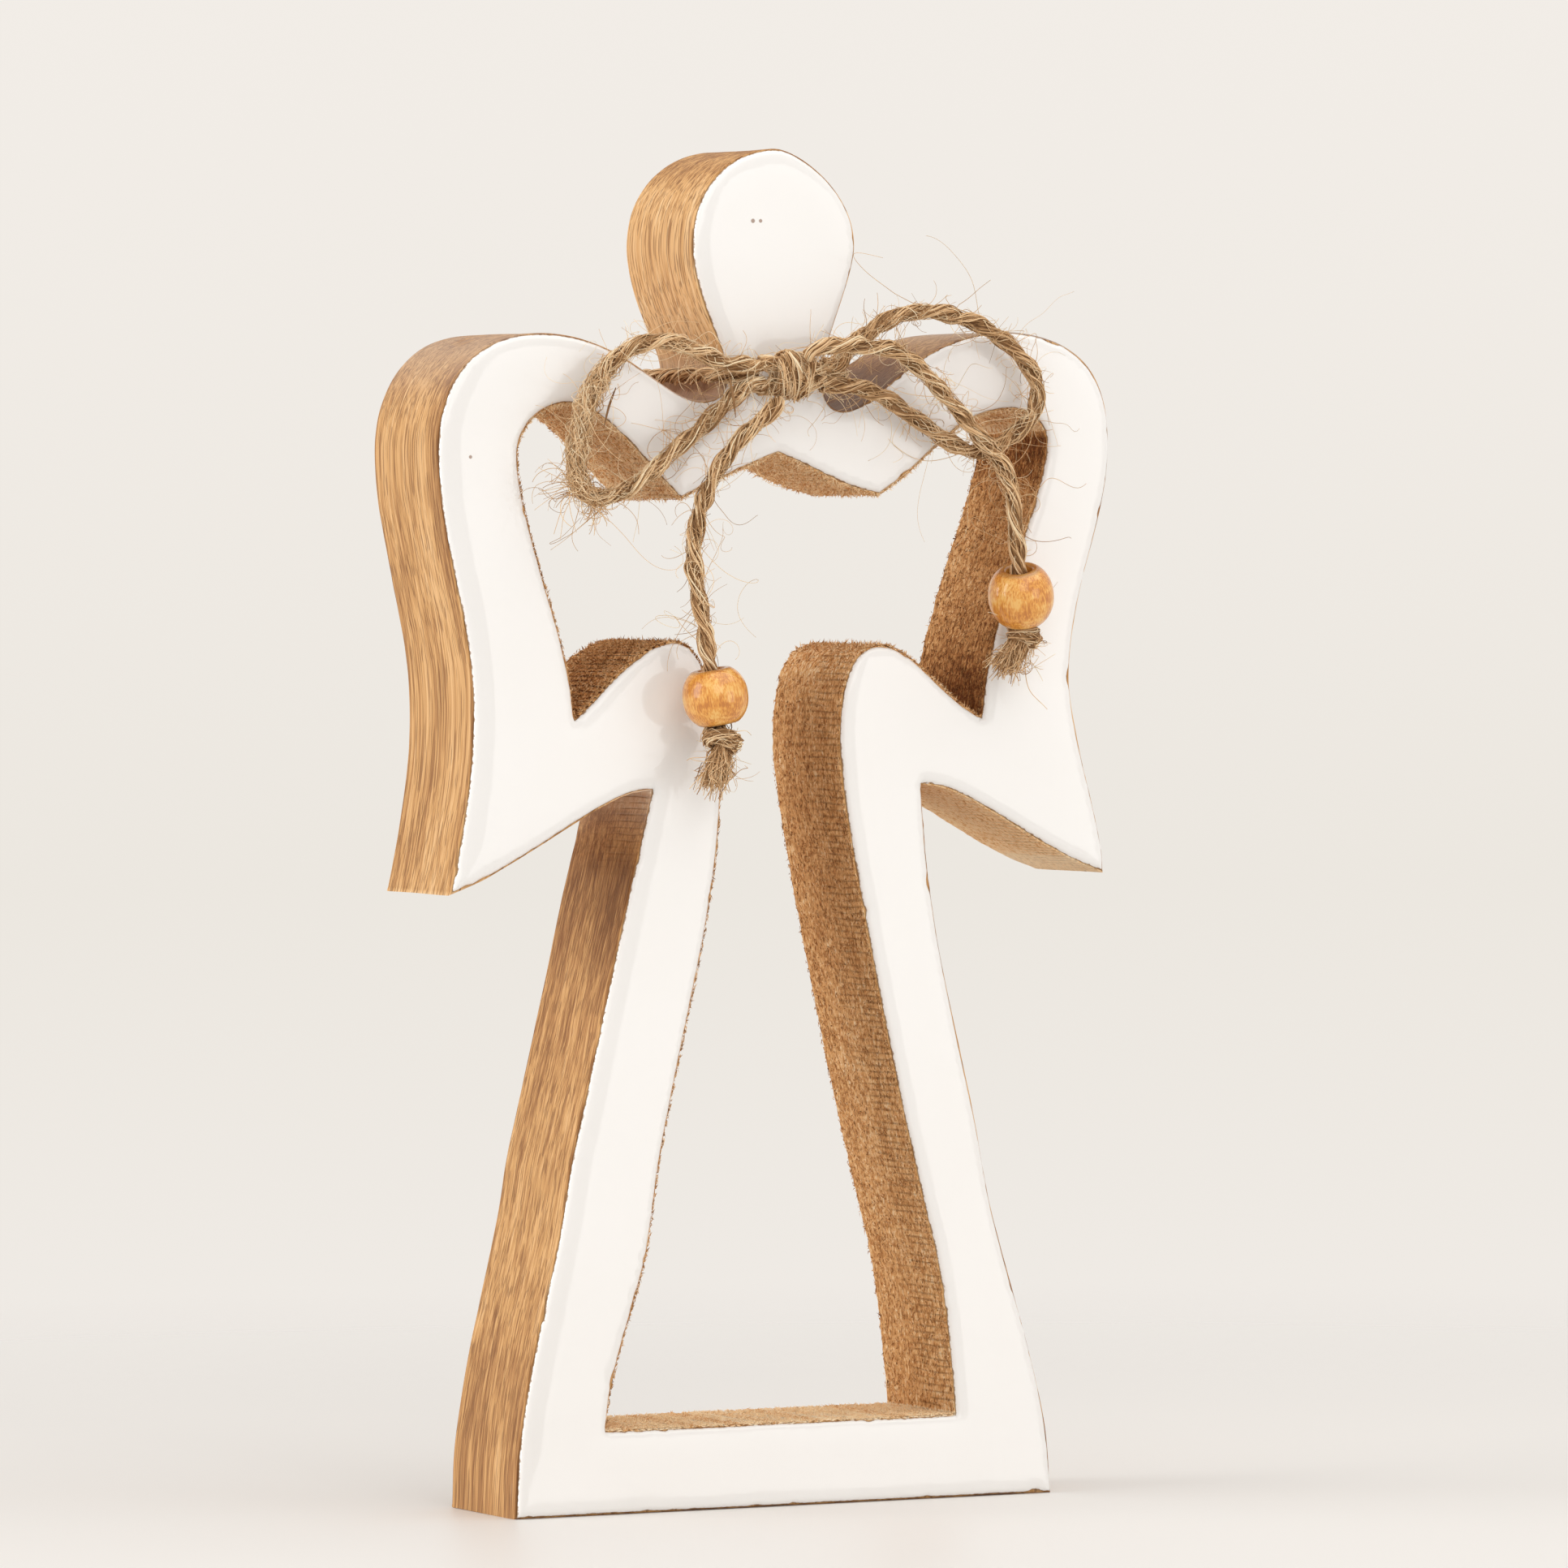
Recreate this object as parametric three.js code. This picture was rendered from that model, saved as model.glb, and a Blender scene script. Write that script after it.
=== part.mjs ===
// A standing angel sawn from one board: white enamel on its front, a twine bow round its neck, two beads.
// Millimetres. +Z is up, the figure faces -Y, and the origin is the middle of the base's underside.
import * as THREE from "three";

// The board and its coat
const BOARD_THICKNESS = 25; // wood and enamel together
const ENAMEL_THICKNESS = 0.75;
const ENAMEL_HEM = 0.5; // bare wood between the enamel and the ground
const BASE_WIDTH = 92;
const WING_SPAN = 115;
const SKIRT_HEIGHT = 111; // ground to the armpits
const TORSO_HEIGHT = 64.5; // armpits to the middle of the neck
const HEAD_HEIGHT = 34; // middle of the neck to the crown
const SILL_HEIGHT = 13; // the rail under the opening
const BAR_DEPTH = 13; // middle of the neck to the peak of the opening
const CURVE_STEPS = 7; // straight steps along each curved stretch of the saw cut

// The twine and its bow
const TWINE_DIAMETER = 2.5;
const TWINE_SIDES = 8;
const SEAT_GAP = 0.3; // air between pieces that rest on each other
const TURN_GAP = 0.7; // air round a stretch of twine that swings
const KNOT_LENGTH = 9.2;
const KNOT_RADIUS = 4.2;
const KNOT_END_RADIUS = 3.2;
const KNOT_WRAPS = 3;
const KNOT_SHIFT = -0.5; // the knot sits left of the middle
const KNOT_DROP = 1; // and below the middle of the neck
const EXIT_FORWARD = 0.9; // the loops leave the knot's ends in front of its axis
const TIE_BACKWARD = 1.6; // and the turn round the neck leaves them behind it
const TIE_STANDOFF = 2.2; // middle of the twine to the board
const TIE_BEND = 3.4;

// The beads and the ends of the twine
const BEAD_DIAMETER = 10;
const BEAD_LENGTH = 8.8;
const BEAD_BORE = 4;
const BEAD_TRAVEL = 8; // how far a bead slides up its tail
const BEAD_SEGMENTS = 24;
const STOP_KNOT_LENGTH = 3.8;
const STOP_KNOT_RADIUS = 3;
const STOP_KNOT_END_RADIUS = 1.7;
const STOP_KNOT_WRAPS = 2;
const FRAY_LENGTH = 6.4;
const FRAY_RADIUS = 2;
const KNOT_SEGMENTS = 16;

const WOOD = { color: 0xb98a58, roughness: 0.75, metalness: 0 };
const ENAMEL = { color: 0xf3f0ea, roughness: 0.18, metalness: 0 };
const TWINE = { color: 0x9c825f, roughness: 0.95, metalness: 0 };
const VARNISHED_BEECH = { color: 0xd98d3f, roughness: 0.3, metalness: 0 };

const ARMPIT = SKIRT_HEIGHT;
const NECK = SKIRT_HEIGHT + TORSO_HEIGHT;
const CROWN = NECK + HEAD_HEIGHT;
const FRONT = -BOARD_THICKNESS / 2;
const BACK = BOARD_THICKNESS / 2;
const WOOD_FRONT = FRONT + ENAMEL_THICKNESS;
const HALF_BASE = BASE_WIDTH / 2;
const HALF_SPAN = WING_SPAN / 2;

// The saw cut is a chain of stations, from the ground up. Each gives its distance from the middle line and its
// height, and the handles of the cubic stretches below it and above it. The two sides were cut by eye, so they differ.
const LEFT_EDGE = {
  shin: { at: [36.2, 54], below: [3.1, -20], above: [-5, 20] },
  armpit: { at: [22, ARMPIT], below: [5.3, -20], above: [7, 0.5] },
  wingTip: { at: [56, ARMPIT - 15.4], below: [-12, 3.5], above: [-2.2, 10.6] },
  wingWaist: { at: [52, ARMPIT + 13], below: [0, -10.3], above: [0, 13.3] },
  wingSide: { at: [HALF_SPAN, NECK - 12.5], below: [0, -13.3], above: [0, 7.7] },
  wingTop: { at: [40, NECK + 5.7], below: [14, 0], above: [-14.4, 0] },
  notch: { at: [13, NECK - 4.7], below: [6.4, 0], above: [-3.6, 0] },
  neck: { at: [8.9, NECK], below: [0, -3.4], above: [0, 3.6] },
  temple: { at: [14.5, NECK + 19], below: [0, -7.9], above: [0, 11] },
  crown: { at: [0, CROWN], below: [5.8, 0] },
};
const RIGHT_EDGE = {
  shin: { at: [34.2, 54], below: [2.9, -19.6], above: [-2.8, 15.4] },
  armpit: { at: [24.4, ARMPIT], below: [0.7, -22.9], above: [8, 0] },
  wingTip: { at: [56, ARMPIT - 14.4], below: [-12, 3.8], above: [0.6, 5.9] },
  wingWaist: { at: [50.3, ARMPIT + 16], below: [0, -8.7], above: [0, 14.1] },
  wingSide: { at: [HALF_SPAN, NECK - 11.5], below: [0, -12.2], above: [0, 12.7] },
  wingTop: { at: [39, NECK + 5.7], below: [10.6, 0], above: [-15.2, 0] },
  notch: { at: [11.4, NECK - 6.4], below: [5.8, 0], above: [-3.7, 0] },
  neck: { at: [7.9, NECK], below: [0, -2.5], above: [0, 3.1] },
  temple: { at: [13.5, NECK + 19], below: [0, -4.7], above: [0, 9.4] },
  crown: { at: [0, CROWN], below: [3.2, 0] },
};
const LEFT_OPENING = {
  corner: { at: [30.4, SILL_HEIGHT], above: [-0.9, 11.7] },
  knee: { at: [22.4, 45], below: [0.9, -9.6], above: [-2.6, 21] },
  wrist: { at: [10.1, ARMPIT + 1], below: [0, -20], above: [0, 6.6] },
  hand: { at: [17.6, ARMPIT + 22.8], below: [-6.1, 0], above: [6.4, 0] },
  cleft: { at: [34.8, ARMPIT + 11.2], below: [-6, 5.2], above: [0.5, 12] },
  pocket: { at: [HALF_SPAN - 13.6, NECK - 13.3], below: [0, -10.5], above: [0, 5.4] },
  arch: { at: [35.6, NECK - 5.2], below: [3.7, 0], above: [-6.2, 0] },
  drop: { at: [16.6, NECK - 19.9], below: [6, 5.4], above: [-5, 2.6] },
  peak: { at: [0, NECK - BAR_DEPTH], below: [3, -1] },
};
const RIGHT_OPENING = {
  corner: { at: [29.2, SILL_HEIGHT], above: [-0.9, 10.6] },
  knee: { at: [24.4, 44.5], below: [3.2, -11.1], above: [-4.5, 16.8] },
  wrist: { at: [10, ARMPIT + 6], below: [0, -8.9], above: [0, 8.3] },
  hand: { at: [17.2, ARMPIT + 21.8], below: [-5.7, 0], above: [5.8, 0] },
  cleft: { at: [34.6, ARMPIT + 10.5], below: [-7.5, 3.8], above: [1.2, 15.6] },
  pocket: { at: [HALF_SPAN - 11.2, NECK - 11.5], below: [0, -7.6], above: [0, 3.1] },
  arch: { at: [40.3, NECK - 6.4], below: [2.9, 0], above: [-10, 0] },
  drop: { at: [17.4, NECK - 19.5], below: [8.7, 4.7], above: [-7.4, 1.4] },
  peak: { at: [0, NECK - BAR_DEPTH], below: [6.8, -2.5] },
};
const FOOT_HANDLE = [-0.4, 21];

function stretch(path, side, from, leave, arrive, to) {
  path.bezierCurveTo(
    side * (from[0] + leave[0]),
    from[1] + leave[1],
    side * (to[0] + arrive[0]),
    to[1] + arrive[1],
    side * to[0],
    to[1],
  );
}

// Up the right side and down the left one, back to the same height.
function traceSides(path, leftStations, rightStations) {
  const up = Object.values(rightStations);
  const down = Object.values(leftStations).reverse();
  path.moveTo(up[0].at[0], up[0].at[1]);
  for (let i = 1; i < up.length; i += 1) {
    stretch(path, 1, up[i - 1].at, up[i - 1].above, up[i].below, up[i].at);
  }
  for (let i = 1; i < down.length; i += 1) {
    stretch(path, -1, down[i - 1].at, down[i - 1].below, down[i].above, down[i].at);
  }
  path.closePath();
  return path;
}

// The figure seen from the front, from a given height up.
function figureShape(lowest) {
  const foot = { at: [HALF_BASE, lowest], above: FOOT_HANDLE };
  const shape = traceSides(new THREE.Shape(), { foot, ...LEFT_EDGE }, { foot, ...RIGHT_EDGE });
  shape.holes.push(traceSides(new THREE.Path(), LEFT_OPENING, RIGHT_OPENING));
  return shape;
}

// A flat slab of the figure's shape between two depths.
function slab(shape, back, front) {
  const geometry = new THREE.ExtrudeGeometry(shape, {
    depth: 1,
    bevelEnabled: false,
    curveSegments: CURVE_STEPS,
  });
  const position = geometry.getAttribute("position");
  for (let i = 0; i < position.count; i += 1) {
    const depth = THREE.MathUtils.lerp(back, front, position.getZ(i));
    position.setXYZ(i, position.getX(i), depth, position.getY(i));
  }
  return geometry;
}

function piece(name, geometry, finish) {
  const mesh = new THREE.Mesh(geometry, new THREE.MeshStandardMaterial(finish));
  mesh.name = name;
  return mesh;
}

// A length of twine along a curve, with a round section of few sides.
function twine(name, curve, steps) {
  const section = new THREE.Shape();
  for (let i = 0; i < TWINE_SIDES; i += 1) {
    const angle = (2 * Math.PI * i) / TWINE_SIDES;
    const x = (TWINE_DIAMETER / 2) * Math.cos(angle);
    const y = (TWINE_DIAMETER / 2) * Math.sin(angle);
    if (i === 0) section.moveTo(x, y);
    else section.lineTo(x, y);
  }
  section.closePath();
  const geometry = new THREE.ExtrudeGeometry(section, { steps, extrudePath: curve });
  return piece(name, geometry, TWINE);
}

function route(points) {
  return new THREE.CatmullRomCurve3(points.map((point) => new THREE.Vector3(...point)));
}

// A barrel of twine turns lying side by side along Y.
function wrappedKnot(name, length, radius, endRadius, wraps) {
  const profile = [new THREE.Vector2(0, -length / 2), new THREE.Vector2(endRadius, -length / 2)];
  const wrap = length / wraps;
  const groove = radius - 0.25 * wrap;
  for (let i = 0; i < wraps; i += 1) {
    const middle = -length / 2 + (i + 0.5) * wrap;
    profile.push(new THREE.Vector2(radius - 0.06 * wrap, middle - 0.22 * wrap));
    profile.push(new THREE.Vector2(radius, middle));
    profile.push(new THREE.Vector2(radius - 0.06 * wrap, middle + 0.22 * wrap));
    if (i < wraps - 1) profile.push(new THREE.Vector2(groove, middle + 0.5 * wrap));
  }
  profile.push(new THREE.Vector2(endRadius, length / 2), new THREE.Vector2(0, length / 2));
  return piece(name, new THREE.LatheGeometry(profile, KNOT_SEGMENTS), TWINE);
}

// A round bead drilled along Y, with flat rims.
function bead(name) {
  const radius = BEAD_DIAMETER / 2;
  const bore = BEAD_BORE / 2;
  const rimAngle = Math.asin(BEAD_LENGTH / BEAD_DIAMETER);
  const profile = [new THREE.Vector2(bore, -BEAD_LENGTH / 2)];
  const arcSteps = 10;
  for (let i = 0; i <= arcSteps; i += 1) {
    const angle = THREE.MathUtils.lerp(-rimAngle, rimAngle, i / arcSteps);
    profile.push(new THREE.Vector2(radius * Math.cos(angle), radius * Math.sin(angle)));
  }
  profile.push(new THREE.Vector2(bore, BEAD_LENGTH / 2), new THREE.Vector2(bore, -BEAD_LENGTH / 2));
  return piece(name, new THREE.LatheGeometry(profile, BEAD_SEGMENTS), VARNISHED_BEECH);
}

// A loose brush of fibres that hangs from the origin down -Y.
function frayedEnd(name) {
  const root = TWINE_DIAMETER / 2;
  const profile = [
    new THREE.Vector2(0, -FRAY_LENGTH),
    new THREE.Vector2(0.7 * FRAY_RADIUS, -FRAY_LENGTH),
    new THREE.Vector2(FRAY_RADIUS, -0.85 * FRAY_LENGTH),
    new THREE.Vector2(root, -0.25 * FRAY_LENGTH),
    new THREE.Vector2(root, 0),
    new THREE.Vector2(0, 0),
  ];
  return piece(name, new THREE.LatheGeometry(profile, KNOT_SEGMENTS), TWINE);
}

// Turns a piece made along Y so that it points along a direction, and puts it at a place.
function set(mesh, place, direction) {
  mesh.position.copy(place);
  mesh.quaternion.setFromUnitVectors(new THREE.Vector3(0, 1, 0), direction);
  return mesh;
}

const figure = new THREE.Group();
figure.add(piece("wood_body", slab(figureShape(0), BACK, WOOD_FRONT), WOOD));
figure.add(piece("front_enamel", slab(figureShape(ENAMEL_HEM), WOOD_FRONT, FRONT), ENAMEL));

// Everything made of twine is placed from the middle of the bow's knot, which rests on the enamel.
const bow = new THREE.Group();
bow.position.set(KNOT_SHIFT, FRONT - KNOT_RADIUS - SEAT_GAP, NECK - KNOT_DROP);
figure.add(bow);

const knot = wrappedKnot("bow_knot", KNOT_LENGTH, KNOT_RADIUS, KNOT_END_RADIUS, KNOT_WRAPS);
bow.add(set(knot, new THREE.Vector3(), new THREE.Vector3(1, 0, 0)));

// The turn round the neck starts at one end of the knot and comes back to the other.
const exitAcross = KNOT_LENGTH / 2 + SEAT_GAP;
const exitUp = TWINE_DIAMETER / 2 + SEAT_GAP;
const tieLeft = -LEFT_EDGE.neck.at[0] - TIE_STANDOFF - bow.position.x;
const tieRight = RIGHT_EDGE.neck.at[0] + TIE_STANDOFF - bow.position.x;
const tieFront = FRONT - TIE_STANDOFF - bow.position.y;
const tieBack = BACK + TIE_STANDOFF - bow.position.y;
const tieCorners = [
  [-exitAcross, TIE_BACKWARD],
  [tieLeft, tieFront],
  [tieLeft, tieBack],
  [tieRight, tieBack],
  [tieRight, tieFront],
  [exitAcross, TIE_BACKWARD],
].map(([x, y]) => new THREE.Vector3(x, y, 0));
const tiePath = new THREE.CurvePath();
let tieStart = tieCorners[0];
for (let i = 1; i < tieCorners.length - 1; i += 1) {
  const corner = tieCorners[i];
  const toward = (other) => other.clone().sub(corner).setLength(TIE_BEND).add(corner);
  const before = toward(tieStart);
  const after = toward(tieCorners[i + 1]);
  tiePath.add(new THREE.LineCurve3(tieStart, before));
  tiePath.add(new THREE.QuadraticBezierCurve3(before, corner, after));
  tieStart = after;
}
tiePath.add(new THREE.LineCurve3(tieStart, tieCorners[tieCorners.length - 1]));
bow.add(twine("neck_tie", tiePath, 28));

// The loops leave and enter the ends of the knot, one strand over the other.
const straightAcross = exitAcross + TWINE_DIAMETER;
const leftLoop = route([
  [-exitAcross, -EXIT_FORWARD, exitUp],
  [-straightAcross, -EXIT_FORWARD, exitUp],
  [-11.3, -1.1, 1.8],
  [-14, -0.9, 3],
  [-21, -0.1, 5.3],
  [-26.5, 0.3, 4.3],
  [-30.9, 0.5, 1],
  [-33.8, 0.5, -3.5],
  [-35.1, 0.5, -8.2],
  [-36, 0.5, -13],
  [-35, 0.4, -17.2],
  [-32.4, 0.3, -18.5],
  [-29, 0.2, -18],
  [-24.3, 0, -15.2],
  [-19.7, -0.1, -11.4],
  [-14.7, -0.5, -7.4],
  [-10.1, -0.9, -3.4],
  [-straightAcross, -EXIT_FORWARD, -exitUp],
  [-exitAcross, -EXIT_FORWARD, -exitUp],
]);
bow.add(twine("bow_loop_left", leftLoop, 20));

const rightLoop = route([
  [exitAcross, -EXIT_FORWARD, exitUp],
  [straightAcross, -EXIT_FORWARD, exitUp],
  [9.6, -0.4, 3.6],
  [12.7, 0.3, 5.9],
  [18.2, 0.5, 8.9],
  [23.3, 0.5, 9.8],
  [28.3, 0.5, 9.3],
  [34.3, 0.5, 7],
  [39.8, 0.5, 3],
  [42.9, 0.5, -1.7],
  [42.1, 0.4, -6.1],
  [38.5, 0.3, -9.3],
  [34.4, 0.2, -11.6],
  [30.9, 0.3, -11.7],
  [26.3, 0.4, -9.7],
  [20.8, 0.3, -6.2],
  [15, -0.3, -2.9],
  [11, -0.8, -1.8],
  [straightAcross, -EXIT_FORWARD, -exitUp],
  [exitAcross, -EXIT_FORWARD, -exitUp],
]);
bow.add(twine("bow_loop_right", rightLoop, 21));

// A tail's last stretch is straight, so that its bead can slide there.
function straightEnd(beadPlace, lean) {
  const along = (s) => beadPlace.clone().addScaledVector(lean, s).toArray();
  const half = BEAD_LENGTH / 2;
  return [along(half + BEAD_TRAVEL), along(half + BEAD_TRAVEL / 2), along(half), along(-half)];
}

// A bead on its tail, the knot that stops it and the loose end below.
function beadGroup(side, beadPlace, lean, frayLean) {
  const stopAlong = BEAD_LENGTH / 2 + SEAT_GAP + STOP_KNOT_LENGTH / 2;
  const stopPlace = beadPlace.clone().addScaledVector(lean, -stopAlong);
  const frayTilt = (TWINE_DIAMETER / 2) * Math.sin(lean.angleTo(frayLean));
  const frayPlace = stopPlace.clone().addScaledVector(lean, -STOP_KNOT_LENGTH / 2 - SEAT_GAP - frayTilt);
  const stopKnot = wrappedKnot(
    `stop_knot_${side}`,
    STOP_KNOT_LENGTH,
    STOP_KNOT_RADIUS,
    STOP_KNOT_END_RADIUS,
    STOP_KNOT_WRAPS,
  );
  bow.add(set(bead(`bead_${side}`), beadPlace, lean));
  bow.add(set(stopKnot, stopPlace, lean));
  bow.add(set(frayedEnd(`frayed_end_${side}`), frayPlace, frayLean));
}

// The left tail leaves the knot below and in front, and swings there.
const tailReach = KNOT_RADIUS + TURN_GAP;
const leftBead = new THREE.Vector3(-14.5, -3, -49.1);
const leftLean = new THREE.Vector3(-0.17, 0, 0.985).normalize();
const leftTail = route([
  [-3.6, -0.6 * tailReach, -0.8 * tailReach],
  [-4.3, -0.72 * tailReach, -tailReach],
  [-6.8, -3.6, -7.1],
  [-9.7, -3.4, -9.3],
  [-12.4, -3.3, -12.2],
  [-15, -3.2, -16.2],
  [-17.2, -3.1, -21.6],
  [-17.9, -3, -26.4],
  [-17.7, -3, -30.7],
  ...straightEnd(leftBead, leftLean),
]);
bow.add(twine("tail_left", leftTail, 9));
beadGroup("left", leftBead, leftLean, new THREE.Vector3(0.2, 0, 0.98).normalize());

// The right tail leaves the knot above and in front, and lies over the right loop.
const rightTurn = new THREE.Vector3(33.8, -2.6, -12.3);
const rightDrape = route([
  [1.2, -0.8 * tailReach, 0.6 * tailReach],
  [2, -tailReach, 0.8 * tailReach],
  [5.9, -4.6, 4.6],
  [11, -3.9, 4.4],
  [15.8, -3.6, 3.9],
  [19, -3.5, 2.2],
  [24.5, -3.2, -2.7],
  [29.6, -2.8, -7.9],
  rightTurn.clone().addScaledVector(new THREE.Vector3(-0.66, 0, 0.75), TURN_GAP).toArray(),
]);
bow.add(twine("tail_right_drape", rightDrape, 7));

// Past the loop it hangs, and swings where it turns over the loop.
const rightBead = new THREE.Vector3(38.3, -2.5, -34.3);
const rightLean = new THREE.Vector3(-0.22, -0.29, 0.93).normalize();
const rightDrop = route([
  rightTurn.clone().addScaledVector(new THREE.Vector3(0.45, -0.4, -0.8), TURN_GAP).toArray(),
  [34.7, -4.1, -14.5],
  [35.1, -5.2, -16.9],
  [35.3, -6, -19.4],
  ...straightEnd(rightBead, rightLean),
]);
bow.add(twine("tail_right_drop", rightDrop, 7));
beadGroup("right", rightBead, rightLean, new THREE.Vector3(0.5, 0.1, 0.86).normalize());

export default figure;
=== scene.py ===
# %% [markdown]
# # A sawn wooden angel with a twine bow
# The figure is one thick board, sawn to the outline of an angel with a single opening inside.
# Its front is coated with thick white enamel, its edges are bare wood, and a bow of jute twine is tied
# round the neck with a varnished bead on each tail.
# The packed model is loaded first. It is the fixed frame in which every piece below is made, in metres.

# %% The frame
import math

import bpy
import numpy as np
from mathutils import Matrix, Vector, geometry, kdtree, noise


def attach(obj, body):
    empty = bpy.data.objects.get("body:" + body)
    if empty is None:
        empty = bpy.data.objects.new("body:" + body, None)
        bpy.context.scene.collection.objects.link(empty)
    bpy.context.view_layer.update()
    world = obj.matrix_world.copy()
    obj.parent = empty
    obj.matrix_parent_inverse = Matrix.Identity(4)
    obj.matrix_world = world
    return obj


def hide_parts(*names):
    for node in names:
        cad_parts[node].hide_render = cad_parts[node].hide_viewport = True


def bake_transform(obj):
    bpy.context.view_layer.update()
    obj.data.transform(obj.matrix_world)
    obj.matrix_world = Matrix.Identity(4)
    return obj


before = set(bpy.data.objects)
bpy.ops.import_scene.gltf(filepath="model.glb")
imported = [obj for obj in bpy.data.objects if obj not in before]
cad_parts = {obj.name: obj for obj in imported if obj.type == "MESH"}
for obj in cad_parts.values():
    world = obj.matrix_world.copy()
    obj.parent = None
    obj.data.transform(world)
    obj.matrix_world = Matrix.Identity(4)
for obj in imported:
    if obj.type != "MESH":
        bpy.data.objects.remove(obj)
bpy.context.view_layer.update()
MM = 0.001

# %% [markdown]
# ## The camera
# The view was fitted to the outline of the board: a long lens, turned about 26 degrees to the figure's left
# and tilted a degree and a half down. Writing the camera's three axes as columns of a matrix places it
# exactly, which is easier than juggling three angles.

# %% The camera
SENSOR_MM = 36
FOCAL_PIXELS = 14000
PICTURE_PIXELS = 1932
CAMERA_PLACE = (-0.759299, -1.590219, 0.159363)
CAMERA_AXES = Matrix((
    (0.900925, 0.018614, -0.433575),
    (-0.433909, 0.021315, -0.900704),
    (-0.007524, 0.999600, 0.027280),
))
scene = bpy.context.scene
camera = bpy.data.objects.new("camera", bpy.data.cameras.new("camera"))
scene.collection.objects.link(camera)
camera.matrix_world = Matrix.Translation(CAMERA_PLACE) @ CAMERA_AXES.to_4x4()
camera.data.sensor_fit = "HORIZONTAL"
camera.data.sensor_width = SENSOR_MM
camera.data.lens = SENSOR_MM * FOCAL_PIXELS / PICTURE_PIXELS
camera.data.clip_start = 0.05
camera.data.clip_end = 60
scene.camera = camera
scene.view_settings.view_transform = "Standard"
print("lens in mm:", round(camera.data.lens, 1))

# %% [markdown]
# ## Where the twine runs
# One string makes the turn round the neck, two loops and two tails. Each stretch is a list of points
# relative to the middle of the bow, and a curve through those points is its centreline.
# A centripetal Catmull-Rom curve passes through every point without overshooting at the tight folds.

# %% Routes of the twine
BOW = np.array((-0.0005, -0.0170, 0.1745))
LOOP_LEFT = [
    (-0.0049, -0.0009, 0.00155), (-0.0074, -0.0009, 0.00155), (-0.0113, -0.0011, 0.0018),
    (-0.0140, -0.0009, 0.0030), (-0.0210, -0.0001, 0.0053), (-0.0265, 0.0003, 0.0043),
    (-0.0309, 0.0005, 0.0010), (-0.0338, 0.0005, -0.0035), (-0.0351, 0.0005, -0.0082),
    (-0.0360, 0.0005, -0.0130), (-0.0350, 0.0004, -0.0172), (-0.0324, 0.0003, -0.0185),
    (-0.0290, 0.0002, -0.0180), (-0.0243, 0.0000, -0.0152), (-0.0197, -0.0001, -0.0114),
    (-0.0147, -0.0005, -0.0074), (-0.0101, -0.0009, -0.0034), (-0.0074, -0.0009, -0.00155),
    (-0.0049, -0.0009, -0.00155),
]
LOOP_RIGHT = [
    (0.0049, -0.0009, 0.00155), (0.0074, -0.0009, 0.00155), (0.0096, -0.0004, 0.0036),
    (0.0127, 0.0003, 0.0059), (0.0182, 0.0005, 0.0089), (0.0233, 0.0005, 0.0098),
    (0.0283, 0.0005, 0.0093), (0.0343, 0.0005, 0.0070), (0.0398, 0.0005, 0.0030),
    (0.0429, 0.0005, -0.0017), (0.0421, 0.0004, -0.0061), (0.0385, 0.0003, -0.0093),
    (0.0344, 0.0002, -0.0116), (0.0309, 0.0003, -0.0117), (0.0263, 0.0004, -0.0097),
    (0.0208, 0.0003, -0.0062), (0.0150, -0.0003, -0.0029), (0.0110, -0.0008, -0.0018),
    (0.0074, -0.0009, -0.00155), (0.0049, -0.0009, -0.00155),
]
BEAD_LEFT = np.array((-0.0145, -0.0030, -0.0491))
BEAD_RIGHT = np.array((0.0383, -0.0025, -0.0343))
LEAN_LEFT = np.array((-0.17007, 0.0, 0.98543))
LEAN_RIGHT = np.array((-0.22029, -0.29038, 0.93121))
# Each tail ends in four points on the straight line through its bead, so far up from the bead's middle.
STRAIGHT = (0.0124, 0.0084, 0.0044, -0.0044)
TAIL_LEFT = [
    (-0.0036, -0.00294, -0.00392), (-0.0043, -0.00353, -0.0049), (-0.0068, -0.0036, -0.0071),
    (-0.0097, -0.0034, -0.0093), (-0.0124, -0.0033, -0.0122), (-0.0150, -0.0032, -0.0162),
    (-0.0172, -0.0031, -0.0216), (-0.0179, -0.0030, -0.0264), (-0.0177, -0.0030, -0.0307),
    *[tuple(BEAD_LEFT + LEAN_LEFT * s) for s in STRAIGHT],
]
# Where the right tail goes over its loop and starts to hang.
TURN = np.array((0.0338, -0.0026, -0.0123))
TAIL_RIGHT = [
    (0.0012, -0.00392, 0.00294), (0.0020, -0.0049, 0.00392), (0.0059, -0.0046, 0.0046),
    (0.0110, -0.0039, 0.0044), (0.0158, -0.0036, 0.0039), (0.0190, -0.0035, 0.0022),
    (0.0245, -0.0032, -0.0027), (0.0296, -0.0028, -0.0079), tuple(TURN),
    (0.0347, -0.0041, -0.0145), (0.0351, -0.0052, -0.0169), (0.0353, -0.0060, -0.0194),
    *[tuple(BEAD_RIGHT + LEAN_RIGHT * s) for s in STRAIGHT],
]


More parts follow.
